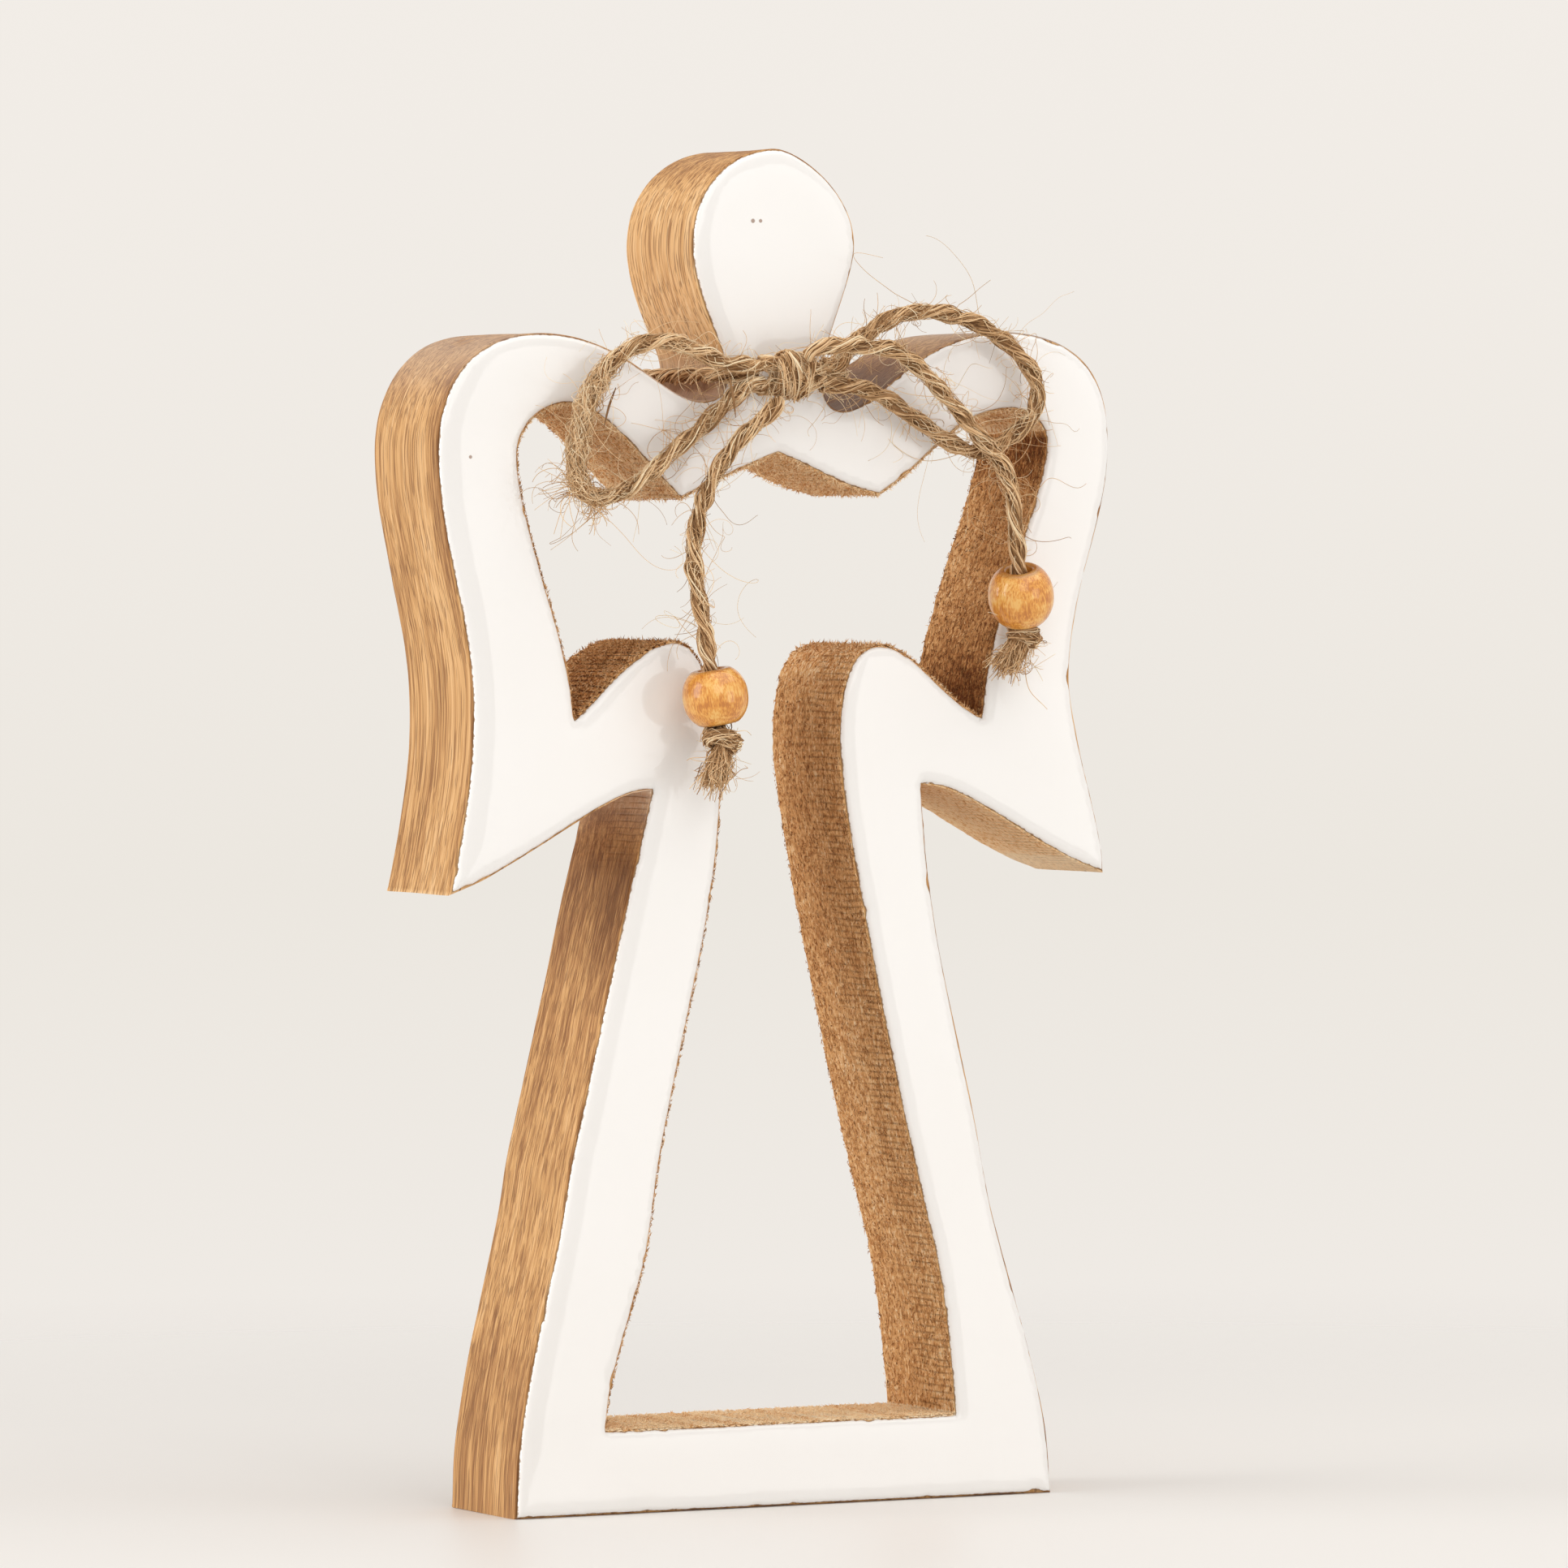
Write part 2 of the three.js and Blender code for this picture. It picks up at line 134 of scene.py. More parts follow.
def curve_through(points, step):
    """Points a step apart along the centripetal Catmull-Rom curve through the given ones."""
    p = np.array(points, float)
    p = np.vstack((2 * p[0] - p[1], p, 2 * p[-1] - p[-2]))
    fine = []
    for a, b, c, d in zip(p[:-3], p[1:-2], p[2:-1], p[3:]):
        t0, t1, t2 = (math.sqrt(max(np.linalg.norm(u - v), 1e-9)) for u, v in ((b, a), (c, b), (d, c)))
        out = ((b - a) / t0 - (c - a) / (t0 + t1) + (c - b) / t1) * t1
        into = ((c - b) / t1 - (d - b) / (t1 + t2) + (d - c) / t2) * t1
        t = np.linspace(0, 1, 60, endpoint=False)[:, None]
        bend = (-3 * b + 3 * c - 2 * out - into) * t**2
        fine.append(b + out * t + bend + (2 * b - 2 * c + out + into) * t**3)
    fine = np.vstack((*fine, p[-2:-1]))
    along = np.concatenate(([0], np.cumsum(np.linalg.norm(np.diff(fine, axis=0), axis=1))))
    at = np.linspace(0, along[-1], max(4, round(along[-1] / step) + 1))
    return np.column_stack([np.interp(at, along, fine[:, k]) for k in range(3)])


def rounded(points, bend):
    """The points of a path whose inner corners are rounded off over the given length."""
    p = [np.array(q, float) for q in points]
    out = [p[0]]
    for a, b, c in zip(p[:-2], p[1:-1], p[2:]):
        start = b + (a - b) / np.linalg.norm(a - b) * bend
        end = b + (c - b) / np.linalg.norm(c - b) * bend
        out += [start * (1 - t) ** 2 + 2 * b * t * (1 - t) + end * t**2 for t in np.linspace(0, 1, 7)]
    return [*out, p[-1]]


def length_of(line):
    """The length of a line through its points."""
    return float(np.linalg.norm(np.diff(line, axis=0), axis=1).sum())


STEP = 0.5 * MM
NECK_BEND = 0.0034
NECK = [
    (-0.0049, 0.0016, 0), (-0.0106, 0.0023, 0), (-0.0106, 0.0317, 0),
    (0.0106, 0.0317, 0), (0.0106, 0.0023, 0), (0.0049, 0.0016, 0),
]
PATHS = {
    "neck": rounded(NECK, NECK_BEND), "loop_left": LOOP_LEFT, "loop_right": LOOP_RIGHT,
    "tail_left": TAIL_LEFT, "tail_right": TAIL_RIGHT,
}
routes = {key: curve_through(BOW + points, STEP) for key, points in PATHS.items()}
for key, line in routes.items():
    print(key, "length in mm:", round(length_of(line) / MM, 1))

# %% [markdown]
# ## From numbers to a piece
# Most pieces here are worked out as points and faces, because hand-spun and hand-sawn shapes are easier to
# compute than to sculpt. One function turns the numbers into an object. Values that belong to single points
# go along under a name, and the finishes read them later.

# %% A piece from points and faces
def made_piece(name, points, faces, values=None, smooth=True):
    """An object from points and faces, with a number or a vector for each point under each name."""
    mesh = bpy.data.meshes.new(name)
    mesh.from_pydata(points, [], faces)
    for title, column in (values or {}).items():
        kind, field = ("FLOAT", "value") if column.ndim == 1 else ("FLOAT_VECTOR", "vector")
        store = mesh.attributes.new(title, kind, "POINT")
        store.data.foreach_set(field, np.ascontiguousarray(column).ravel())
    if smooth:
        mesh.shade_smooth()
    piece = bpy.data.objects.new(name, mesh)
    scene.collection.objects.link(piece)
    return piece


# %% [markdown]
# ## Spinning the twine
# Jute twine here is two loose strands laid round each other, and each strand is a bundle of coarse fibres.
# A smooth tube with a bump would show its plain edge against the white front, so the fibres are real:
# each is a thin tube that winds with its strand and wanders a little, over a core coloured near-black as
# painted shade, which shows through the gaps. Every fibre carries a random tone, painted darker as shade
# where it sinks into the groove between the strands, which the finish later turns into its colour.

# %% Fibres and strands
rng = np.random.default_rng(7)
STRAND_RADIUS = 0.80 * MM
STRAND_OFFSET = 0.48 * MM
LAY = 11.5 * MM
CORE_SHARE = 0.84
CORE_SIDES = 7
# The core's tone is painted shade for the gaps between the fibres.
SHADED_CORE_TONE = 0.05


def carried_axes(line):
    """Tangents of a line and two axes across it that turn as little as possible along it."""
    tangent = np.gradient(line, axis=0)
    tangent /= np.linalg.norm(tangent, axis=1)[:, None]
    first = np.zeros_like(line)
    seed = np.array((0.31, -0.9, 0.29))
    for i, t in enumerate(tangent):
        seed = seed - t * seed.dot(t)
        seed /= np.linalg.norm(seed)
        first[i] = seed
    return tangent, first, np.cross(tangent, first)


def wander(count, steps, reach):
    """Smooth random drifts, one row each, that stay within about the given reach."""
    knots = rng.normal(0, 1, (count, max(4, round(steps / 6) + 2)))
    at = np.linspace(0, knots.shape[1] - 1.001, steps)
    low = at.astype(int)
    t = at - low
    t = t * t * (3 - 2 * t)
    return (knots[:, low] * (1 - t) + knots[:, low + 1] * t) * reach


class Tubes:
    """Gathers thin tubes into one mesh, with a tone for each tube or each of its rings."""

    def __init__(self):
        self.points, self.faces, self.tones, self.count = [], [], [], 0

    def add(self, line, radius, sides, tone):
        """A closed tube along a line; radius and tone are one number or one for each point of the line."""
        n = len(line)
        _, a, b = carried_axes(line)
        angle = np.arange(sides) * 2 * math.pi / sides
        radius = np.broadcast_to(radius, (n,))[:, None, None]
        ring = a[:, None] * np.cos(angle)[None, :, None] + b[:, None] * np.sin(angle)[None, :, None]
        self.points.append((line[:, None] + ring * radius).reshape(-1, 3))
        i, k = np.meshgrid(np.arange(n - 1), np.arange(sides), indexing="ij")
        low, up = i * sides + k, i * sides + (k + 1) % sides
        quads = np.stack((low, up, up + sides, low + sides), -1).reshape(-1, 4) + self.count
        self.faces += quads.tolist()
        self.faces.append((np.arange(sides)[::-1] + self.count).tolist())
        self.faces.append((np.arange(sides) + (n - 1) * sides + self.count).tolist())
        self.tones.append(np.repeat(np.broadcast_to(tone, (n,)), sides))
        self.count += n * sides

    def made(self, name):
        """The piece that holds every tube gathered so far."""
        tones = {"fibre_tone": np.concatenate(self.tones)}
        return made_piece(name, np.vstack(self.points).tolist(), self.faces, tones)


def around(a, b, angle):
    """Directions at the given angles in the plane of two axes."""
    return a * np.cos(angle)[:, None] + b * np.sin(angle)[:, None]


def spin(tubes, line, fibres=24, thick=1.0, fade=1.0):
    """Lays two strands of fibres over dark cores of painted shade round a centreline; fade darkens the
    stretch.
    """
    n = len(line)
    along = np.arange(n) * length_of(line) / (n - 1)
    _, a, b = carried_axes(line)
    swell = thick * (1 + wander(1, n, 0.05)[0])
    for strand in range(2):
        turn = -2 * math.pi * along / LAY + math.pi * strand + wander(1, n, 0.12)[0]
        middle = line + around(a, b, turn) * (STRAND_OFFSET * swell)[:, None]
        # The dark core under the fibres is painted shade.
        tubes.add(middle[::2], STRAND_RADIUS * CORE_SHARE * thick, CORE_SIDES, SHADED_CORE_TONE)
        drift, lift = wander(fibres, n, 0.34), wander(fibres, n, 0.12 * MM)
        for f in range(fibres):
            place = 2 * math.pi * f / fibres + drift[f] - 2 * math.pi * along / (2.1 * LAY)
            out = (STRAND_RADIUS * swell + lift[f] - 0.03 * MM)[:, None]
            radius = rng.uniform(0.07, 0.15) * MM
            fibre = middle + around(a, b, place) * out
            # Painted shade: a fibre's tone drops where it sinks into the groove between the strands.
            unshaded_by_groove = np.clip((np.linalg.norm(fibre - line, axis=1) / thick - 0.45 * MM) / (0.65 * MM), 0, 1)
            tubes.add(fibre, radius, 4, fade * rng.beta(1.15, 0.9) * (0.02 + 0.98 * unshaded_by_groove**1.7))


def cling(tubes, line, each_mm, shortest, longest, stand):
    """Loose fibres that lie over a stretch of twine and drift round it, so many for each millimetre."""
    _, a, b = carried_axes(line)
    gap = length_of(line) / (len(line) - 1)
    for _ in range(round(length_of(line) / MM * each_mm)):
        n = min(len(line) - 1, max(6, round(rng.uniform(shortest, longest) * MM / gap)))
        i = rng.integers(0, len(line) - n)
        start, twist = rng.uniform(0, 2 * math.pi), rng.normal(0, 0.35)
        angle = start + twist * np.arange(n) * gap / MM + wander(1, n, 0.4)[0]
        out = (1.02 + np.abs(wander(1, n, stand)[0])) * MM
        part = slice(i, i + n)
        path = line[part] + around(a[part], b[part], angle) * out[:, None]
        tubes.add(path, rng.uniform(0.04, 0.08) * MM, 3, rng.beta(2.6, 1.3))


def twine(key, fade):
    """One stretch of the string, spun along its route."""
    tubes = Tubes()
    spin(tubes, routes[key], fade=fade)
    piece = tubes.made(f"twine_{key}")
    print(piece.name, "fibre points:", tubes.count)
    return piece


FADES = {"neck": 1.0, "loop_left": 1.0, "loop_right": 0.66, "tail_left": 1.0, "tail_right": 1.0}
cords = {key: twine(key, fade) for key, fade in FADES.items()}

# %% [markdown]
# ## Knots and frayed ends
# The bow's knot is the string wound across itself, so it is spun from the same twine: two runs straight
# through and a slanting band of turns over them. Each stop knot is a turn and a half under its bead,
# and below it the strands open into a dense brush of cut fibres.

# %% Knots and frayed ends
def across(axis):
    """Two directions square to an axis."""
    side = np.cross(axis, (0.0, 1.0, 0.0))
    side /= np.linalg.norm(side)
    return side, np.cross(axis, side)


def winding(centre, axis, radius, reach, turns, start):
    """A helix of turns round an axis, from one reach to the other."""
    axis = np.array(axis) / np.linalg.norm(axis)
    side, up = across(axis)
    t = np.linspace(0, 1, max(24, round(turns * 2 * math.pi * radius / STEP)))
    angle = start + 2 * math.pi * turns * t
    return centre + axis * ((2 * t - 1) * reach)[:, None] + around(side, up, angle) * radius


def bow_knot():
    """Two runs of twine straight through, a slanting band of turns over them and one more turn on top."""
    tubes = Tubes()
    middle = BOW + np.array((-0.0002, -0.0002, 0.0))
    for z, tilt in ((1.45 * MM, -0.10), (-1.45 * MM, 0.10)):
        ends = [middle + np.array((x * MM, -0.7 * MM, z + tilt * x * MM)) for x in (-5.6, -2.0, 2.0, 5.6)]
        spin(tubes, curve_through(ends, STEP), 20, 0.95)
    wrap = winding(middle, (0.97, 0.0, -0.24), 2.7 * MM, 2.0 * MM, 2.4, 0.6)
    spin(tubes, wrap, 20, 0.98)
    cling(tubes, wrap, 3, 2, 7, 0.25)
    over = winding(middle + np.array((1.3 * MM, 0, 0)), (0.82, 0.0, -0.57), 2.95 * MM, 0.5 * MM, 1.1, 2.2)
    spin(tubes, over, 20, 0.9)
    return tubes.made("twine_bow_knot")


def stop_knot(name, bead, lean, below, radius):
    """A turn and a half of twine under a bead, slanting over a short straight run."""
    tubes = Tubes()
    centre = BOW + bead - lean * below
    wrap = winding(centre, lean + np.array((0.48, 0.10, 0.0)), radius, 0.75 * MM, 1.7, 2.0)
    spin(tubes, wrap, 22, 0.98)
    cling(tubes, wrap, 3, 2, 6, 0.2)
    spin(tubes, curve_through([centre + lean * s * MM for s in (2.1, 0.7, -0.7, -2.1)], STEP), 18, 0.9)
    return tubes.made(name)


FRAYED_FIBRES = 340
FRAYED_RINGS = 10


def frayed_end(name, bead, lean, below, hang):
    """A stub of twine out of the stop knot that opens into a dense brush, cut on a slant."""
    tubes = Tubes()
    hang = np.array(hang) / np.linalg.norm(hang)
    root = BOW + bead - lean * below
    side, up = across(hang)
    t = np.linspace(0, 1, FRAYED_RINGS)[:, None]
    for _ in range(FRAYED_FIBRES):
        spread, angle = math.sqrt(rng.random()), rng.uniform(0, 2 * math.pi)
        slant = spread * math.cos(angle)
        long = (rng.uniform(4.4, 7.0) + 0.9 * slant) * MM
        turn = angle + 0.7 * t
        way = side * np.cos(turn) + up * np.sin(turn)
        flare = way * spread * (1.25 + 0.80 * t**0.8) * MM
        bend = wander(3, FRAYED_RINGS, rng.choice((0.26, 1.00)) * MM).T * t
        # Painted shade: fibres near the middle of the brush are darker, and all grow lighter towards the cut
        # tips.
        tone = rng.beta(1.5, 1.2) * np.linspace(0.55, 1.0, FRAYED_RINGS) * (0.4 + 0.6 * spread)
        path = root - hang * long * t + flare + bend
        tubes.add(path, rng.uniform(0.07, 0.13) * MM * (1 - 0.45 * t[:, 0]), 4, tone)
    return tubes.made(name)


knot = bow_knot()
stops = {
    "left": stop_knot("twine_stop_knot_left", BEAD_LEFT, LEAN_LEFT, 6.7 * MM, 2.0 * MM),
    "right": stop_knot("twine_stop_knot_right", BEAD_RIGHT, LEAN_RIGHT, 6.4 * MM, 1.75 * MM),
}
ends = {
    "left": frayed_end("twine_frayed_end_left", BEAD_LEFT, LEAN_LEFT, 7.8 * MM, (0.34, 0.0, 0.94)),
    "right": frayed_end("twine_frayed_end_right", BEAD_RIGHT, LEAN_RIGHT, 6.8 * MM, (0.62, 0.1, 0.78)),
}
print("knots:", knot.name, [o.name for o in stops.values()], "ends:", [o.name for o in ends.values()])

# %% [markdown]
# ## Loose hairs
# Jute sheds. Short hairs stand off every stretch, a few long ones curl far out, and the fold of the left
# loop carries a tuft. They are kept apart from the twine, so that the twine itself still measures as a
# string of its own thickness. Each hair is a short walk that keeps changing direction a little, and other
# loose fibres cling to the twine and drift round it. Two slivers of dark bark and one of straw are caught
# in the bow.

# %% Hairs and tufts
FACE = -12.5 * MM
HAIR_STEP = 0.55 * MM
HAIR_CLEARANCE = 0.3 * MM


def hair(start, way, long, curl):
    """A walk from a point in a direction, bending at random and kept in front of the board."""
    n = max(6, round(long / HAIR_STEP))
    step = long / n
    spin_axis = rng.normal(0, 1, 3)
    curl = curl * math.exp(rng.normal(0.25, 0.6))
    at, points = np.array(start, float), []
    for _ in range(n + 1):
        points.append(at.copy())
        spin_axis += rng.normal(0, 0.35, 3)
        way = way + np.cross(spin_axis, way) * curl * step / MM * 0.1
        way = way / np.linalg.norm(way)
        at = at + way * step
        at[1] = min(at[1], FACE - HAIR_CLEARANCE)
    return np.array(points)


def shed(tubes, line, each_mm, shortest, longest, curl, radius=0.052):
    """Hairs that stand off a stretch of twine, so many for each millimetre of it."""
    tangent, a, b = carried_axes(line)
    for _ in range(round(length_of(line) / MM * each_mm)):
        i = rng.integers(0, len(line))
        angle = rng.uniform(0, 2 * math.pi)
        out = a[i] * math.cos(angle) + b[i] * math.sin(angle)
        way = out * rng.uniform(0.35, 1.0) + tangent[i] * rng.choice((-1, 1)) * rng.uniform(0.2, 1.2)
        long = math.exp(rng.uniform(math.log(shortest), math.log(longest))) * MM
        path = hair(line[i] + out * 1.1 * MM, way / np.linalg.norm(way), long, curl)
        taper = np.linspace(1, 0.6, len(path))
        tubes.add(path, taper * radius * rng.uniform(0.7, 1.3) * MM, 3, rng.beta(2.4, 1.7))


def fuzz(*stretches):
    """Clinging fibres and short, middling and long hairs along stretches, each with its share of them."""
    tubes = Tubes()
    for line, share in stretches:
        cling(tubes, line, 2.6 * share, 2.0, 7, 0.16)
        shed(tubes, line, 2.4 * share, 1.2, 5, 1.6)
        shed(tubes, line, 0.9 * share, 5, 14, 1.4)
        shed(tubes, line, 0.14 * share, 14, 30, 0.9)
    return tubes


def end_fuzz(tubes, bead, lean, lowest):
    """Short and coarse hairs round a stop knot and its frayed end, down to a depth under the bead."""
    line = curve_through([BOW + bead - lean * s * MM for s in (5.5, 7, 9, lowest)], STEP)
    shed(tubes, line, 8, 1.5, 5, 1.8)
    shed(tubes, line, 1.6, 4, 9, 2.2, 0.085)


def tuft(tubes, place, way, count, shortest, longest):
    """A cluster of hairs that leave one place in about one direction."""
    for _ in range(count):
        lean = np.array(way) + rng.normal(0, 0.45, 3)
        root = BOW + np.array(place) + rng.normal(0, 0.6 * MM, 3)
        path = hair(root, lean / np.linalg.norm(lean), rng.uniform(shortest, longest) * MM, 1.6)
        tubes.add(path, np.linspace(1, 0.6, len(path)) * rng.uniform(0.045, 0.09) * MM, 3, rng.beta(2.4, 2.2))


print("hairs keep", round(HAIR_CLEARANCE / MM, 2), "mm off the front")

# %% Hairs of the bow and the tails
# The turn round the neck shows for its first and last steps, and the bead hides the last steps of a tail.
NECK_SHOWN = 14
IN_BEAD = 22
SLIVERS = [
    (0.02, 0.30, [(-0.0119, -0.0035, -0.0003), (-0.0114, -0.0037, -0.0034), (-0.0109, -0.0035, -0.0065)]),
    (0.00, 0.22, [(-0.0300, -0.0012, -0.0018), (-0.0313, -0.0015, -0.0046), (-0.0321, -0.0012, -0.0080)]),
    (1.00, 0.24, [(-0.0026, -0.0052, 0.0036), (-0.0014, -0.0056, 0.0019), (-0.0002, -0.0052, 0.0002)]),
]
neck, loop_left, loop_right = routes["neck"], routes["loop_left"], routes["loop_right"]
bow_hairs = fuzz((loop_left, 1.3), (loop_right, 1.0), (neck[:NECK_SHOWN], 0.6), (neck[-NECK_SHOWN:], 0.6))
fold = loop_left[len(loop_left) * 3 // 10 : len(loop_left) * 13 // 20]
cling(bow_hairs, fold, 10, 4, 12, 0.65)
knot_line = curve_through([BOW + np.array((x, -0.0022, 0)) for x in (-0.0055, -0.002, 0.002, 0.0055)], STEP)
shed(bow_hairs, knot_line, 12, 1.5, 6, 1.5)
shed(bow_hairs, knot_line, 1.5, 7, 16, 1.0)
tuft(bow_hairs, (-0.0356, 0.0, -0.0170), (-0.85, -0.2, 0.10), 70, 3, 12)
tuft(bow_hairs, (-0.0330, 0.0, -0.0190), (-0.20, -0.2, -0.9), 34, 2.5, 6.5)
for tone, wide, points in SLIVERS:
    path = curve_through(BOW + points, STEP)
    bow_hairs.add(path, wide * MM * np.sin(np.linspace(0.35, math.pi - 0.15, len(path))), 4, tone)
left_hairs = fuzz((routes["tail_left"][:-IN_BEAD], 1.0))
end_fuzz(left_hairs, BEAD_LEFT, LEAN_LEFT, 13)
right_hairs = fuzz((routes["tail_right"][:-IN_BEAD], 1.1))
end_hairs = Tubes()
end_fuzz(end_hairs, BEAD_RIGHT, LEAN_RIGHT, 12)
hairs = {
    "bow": bow_hairs.made("twine_hairs_bow"),
    "left": left_hairs.made("twine_hairs_tail_left"),
    "right": right_hairs.made("twine_hairs_tail_right"),
    "end": end_hairs.made("twine_hairs_end_right"),
}
print("hair points:", {k: len(o.data.vertices) for k, o in hairs.items()})

# %% [markdown]
# ## What the twine hangs from
# The loops, the knot and the turn round the neck stay with the figure. The left tail swings as a whole.
# The right tail lies over its loop and hangs from there. Its stop knot, frayed end and their hairs follow a
# body of their own, while its cord and the hairs along it stay fixed in place. Each stretch is printed as a
# cord, with where its far end is held and how it lies.

# %% Cords and the bodies they follow
HANGS_FROM = [
    (cords["neck"], "figure", ["neck_tie"]),
    (knot, "figure", ["bow_knot"]),
    (cords["loop_left"], "figure", ["bow_loop_left"]),
    (cords["loop_right"], "figure", ["bow_loop_right"]),
    (hairs["bow"], "figure", []),
    (cords["tail_left"], "left_tail", ["tail_left"]),
    (stops["left"], "left_tail", ["stop_knot_left"]),
    (ends["left"], "left_tail", ["frayed_end_left"]),
    (hairs["left"], "left_tail", []),
    (stops["right"], "right_tail", ["stop_knot_right"]),
    (ends["right"], "right_tail", ["frayed_end_right"]),
    (hairs["end"], "right_tail", []),
]
for piece, body, nodes in HANGS_FROM:
    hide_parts(*nodes)
    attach(piece, body)
for piece in (cords["tail_right"], hairs["right"]):
    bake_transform(piece)
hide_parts("tail_right_drape", "tail_right_drop")


def declare(key, far_end, lay):
    """Prints that a stretch is a cord, with where its far end is held and how it lies."""
    print("cord:", cords[key].name, far_end, lay)


declare("neck", "object", "taut")
declare("loop_left", "object", "loose")
declare("loop_right", "object", "loose")

# %% [markdown]
# ## Beads
# Each bead is a drilled round bead, a little shorter than it is wide because its ends are cut flat, with
# an eased rim round the bore. It is turned from its profile round the string's direction.
# The vertices remember their place along and across the bore, so that the grain can follow the bead.

# %% Beads
BORE = 2.0 * MM
BORE_RIM = ((0.02, 0.93), (0.12, 0.985), (0.35, 1.01), (0.75, 1.015))
BEAD_SIDES = 72
UNEVEN = 0.012


def ripple(*place):
    """Smooth noise, from about -1 to 1, at a place given by three numbers."""
    return noise.noise(Vector(place))


def bead_profile(radius, half):
    """Radius and height from the middle of the bore over the outside and back to the bore."""
    full, tall = 2.2, half * 1.195
    heights = half * np.sin(np.linspace(1, -1, 44) * math.pi / 2)
    outside = [(radius * (1 - (abs(h) / tall) ** full) ** (1 / full), h) for h in heights]
    rim = [(BORE + r * MM, h) for r, h in BORE_RIM]
    top = [(r, h * half) for r, h in rim]
    bottom = [(r, -h * half) for r, h in reversed(rim)]
    inside = [(BORE, h * half) for h in (-0.8, -0.4, 0.0, 0.4, 0.8)]
    return [*top, *outside, *bottom, *inside]


def bead(name, centre, lean, radius, half, seed):
    """A slightly uneven bead, turned from its profile round the string."""
    profile = bead_profile(radius, half)
    side, up = across(lean)
    rows = len(profile)
    points, local, faces = [], [], []
    for r, h in profile:
        for k in range(BEAD_SIDES):
            angle = 2 * math.pi * k / BEAD_SIDES
            c, s = math.cos(angle), math.sin(angle)
            uneven = 1 + UNEVEN * ripple(c * 1.3, s * 1.3, h / half + seed)
            x, y = r * uneven * c, r * uneven * s
            points.append(centre + side * x + up * y + lean * h)
            local.append((x / MM + seed * 20, y / MM, h / half))
    for i in range(rows):
        for k in range(BEAD_SIDES):
            j, m = (i + 1) % rows * BEAD_SIDES, (k + 1) % BEAD_SIDES
            faces.append((i * BEAD_SIDES + k, i * BEAD_SIDES + m, j + m, j + k))
    piece = made_piece(name, [tuple(p) for p in points], faces, {"bead_grain": np.array(local)})
    a, b, c, d = np.array(points)[np.array(faces)].transpose(1, 0, 2)
    if (a * (np.cross(b, c) + np.cross(c, d))).sum() < 0:
        piece.data.flip_normals()
    return piece


along_right = LEAN_RIGHT / np.linalg.norm(LEAN_RIGHT)
beads = {
    "left": bead("bead_on_left_tail", BOW + BEAD_LEFT, LEAN_LEFT, 5.05 * MM, 4.2 * MM, 0.0),
    "right": bead("bead_on_right_tail", BOW + BEAD_RIGHT, along_right, 5.12 * MM, 4.45 * MM, 3.0),
}
for key, piece in beads.items():
    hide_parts(f"bead_{key}")
    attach(piece, f"{key}_bead")
declare("tail_left", "knot", "hanging")
declare("tail_right", "knot", "hanging")
print("beads:", [o.name for o in beads.values()])

# %% [markdown]
# ## The board's outline
# The board's two outlines, outside and round the opening, are read from the packed solid's back face, so
# that the wood and the enamel below follow the solid exactly. Between its sharp corners each outline is
# smoothed and divided evenly, finely enough to carry saw marks.

# %% Outlines of the board
def face_loops(node, level):
    """Closed loops of (x, z) round a node's flat face at that y."""
    mesh = node.data
    mesh.calc_loop_triangles()
    co = np.array([v.co for v in mesh.vertices])
    index, places, uses = {}, [], {}
    for tri in mesh.loop_triangles:
        corners = co[list(tri.vertices)]
        if np.abs(corners[:, 1] - level).max() > 1e-6:
            continue
        keys = []
        for x, _, z in corners:
            key = (round(x, 6), round(z, 6))
            if key not in index:
                index[key] = len(places)
                places.append((x, z))
            keys.append(index[key])
        for u, v in zip(keys, keys[1:] + keys[:1]):
            if u != v:
                uses[(u, v)] = uses.get((u, v), 0) + 1
    follow = {u: v for u, v in uses if (v, u) not in uses}
    loops = []
    while follow:
        start, at = next(iter(follow.items()))
        del follow[start]
        loop = [start]
        while at != start:
            loop.append(at)
            at = follow.pop(at)
        loops.append(np.array([places[i] for i in loop]))
    return loops


def area_of(loop):
    """The area within a loop, negative when it runs clockwise."""
    x, z = loop.T
    return 0.5 * float(np.dot(x, np.roll(z, -1)) - np.dot(z, np.roll(x, -1)))


def evened(loop, step, corner=30):
    """The loop in even steps: points, outward directions and distances along, with its sharp corners kept."""
    ahead = np.roll(loop, -1, 0) - loop
    back = loop - np.roll(loop, 1, 0)
    turn = np.degrees(np.abs(np.angle((ahead[:, 0] + 1j * ahead[:, 1]) / (back[:, 0] + 1j * back[:, 1]))))
    sharp = np.flatnonzero(turn > corner)
    out = []
    for a, b in zip(sharp, np.append(sharp[1:], sharp[0] + len(loop))):
        run = loop[np.arange(a, b + 1) % len(loop)]
        flat = np.column_stack((run[:, 0], np.zeros(len(run)), run[:, 1]))
        out.append(curve_through(flat, step)[:-1, [0, 2]])
    points = np.vstack(out)
    chord = np.roll(points, -1, 0) - np.roll(points, 1, 0)
    normal = np.column_stack((chord[:, 1], -chord[:, 0])) / np.linalg.norm(chord, axis=1)[:, None]
    along = np.concatenate(([0], np.cumsum(np.linalg.norm(np.diff(points, axis=0), axis=1))))
    return points, normal, along


BACK = 12.5 * MM
found = sorted(face_loops(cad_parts["wood_body"], BACK), key=lambda loop: -abs(area_of(loop)))
outside, opening = found
if area_of(outside) < 0:
    outside = outside[::-1]
if area_of(opening) > 0:
    opening = opening[::-1]
edges = {"outside": evened(outside, 0.7 * MM), "opening": evened(opening, 0.5 * MM)}
print("outlines:", {k: (len(e[0]), round(e[2][-1] / MM)) for k, e in edges.items()}, "points and mm round")

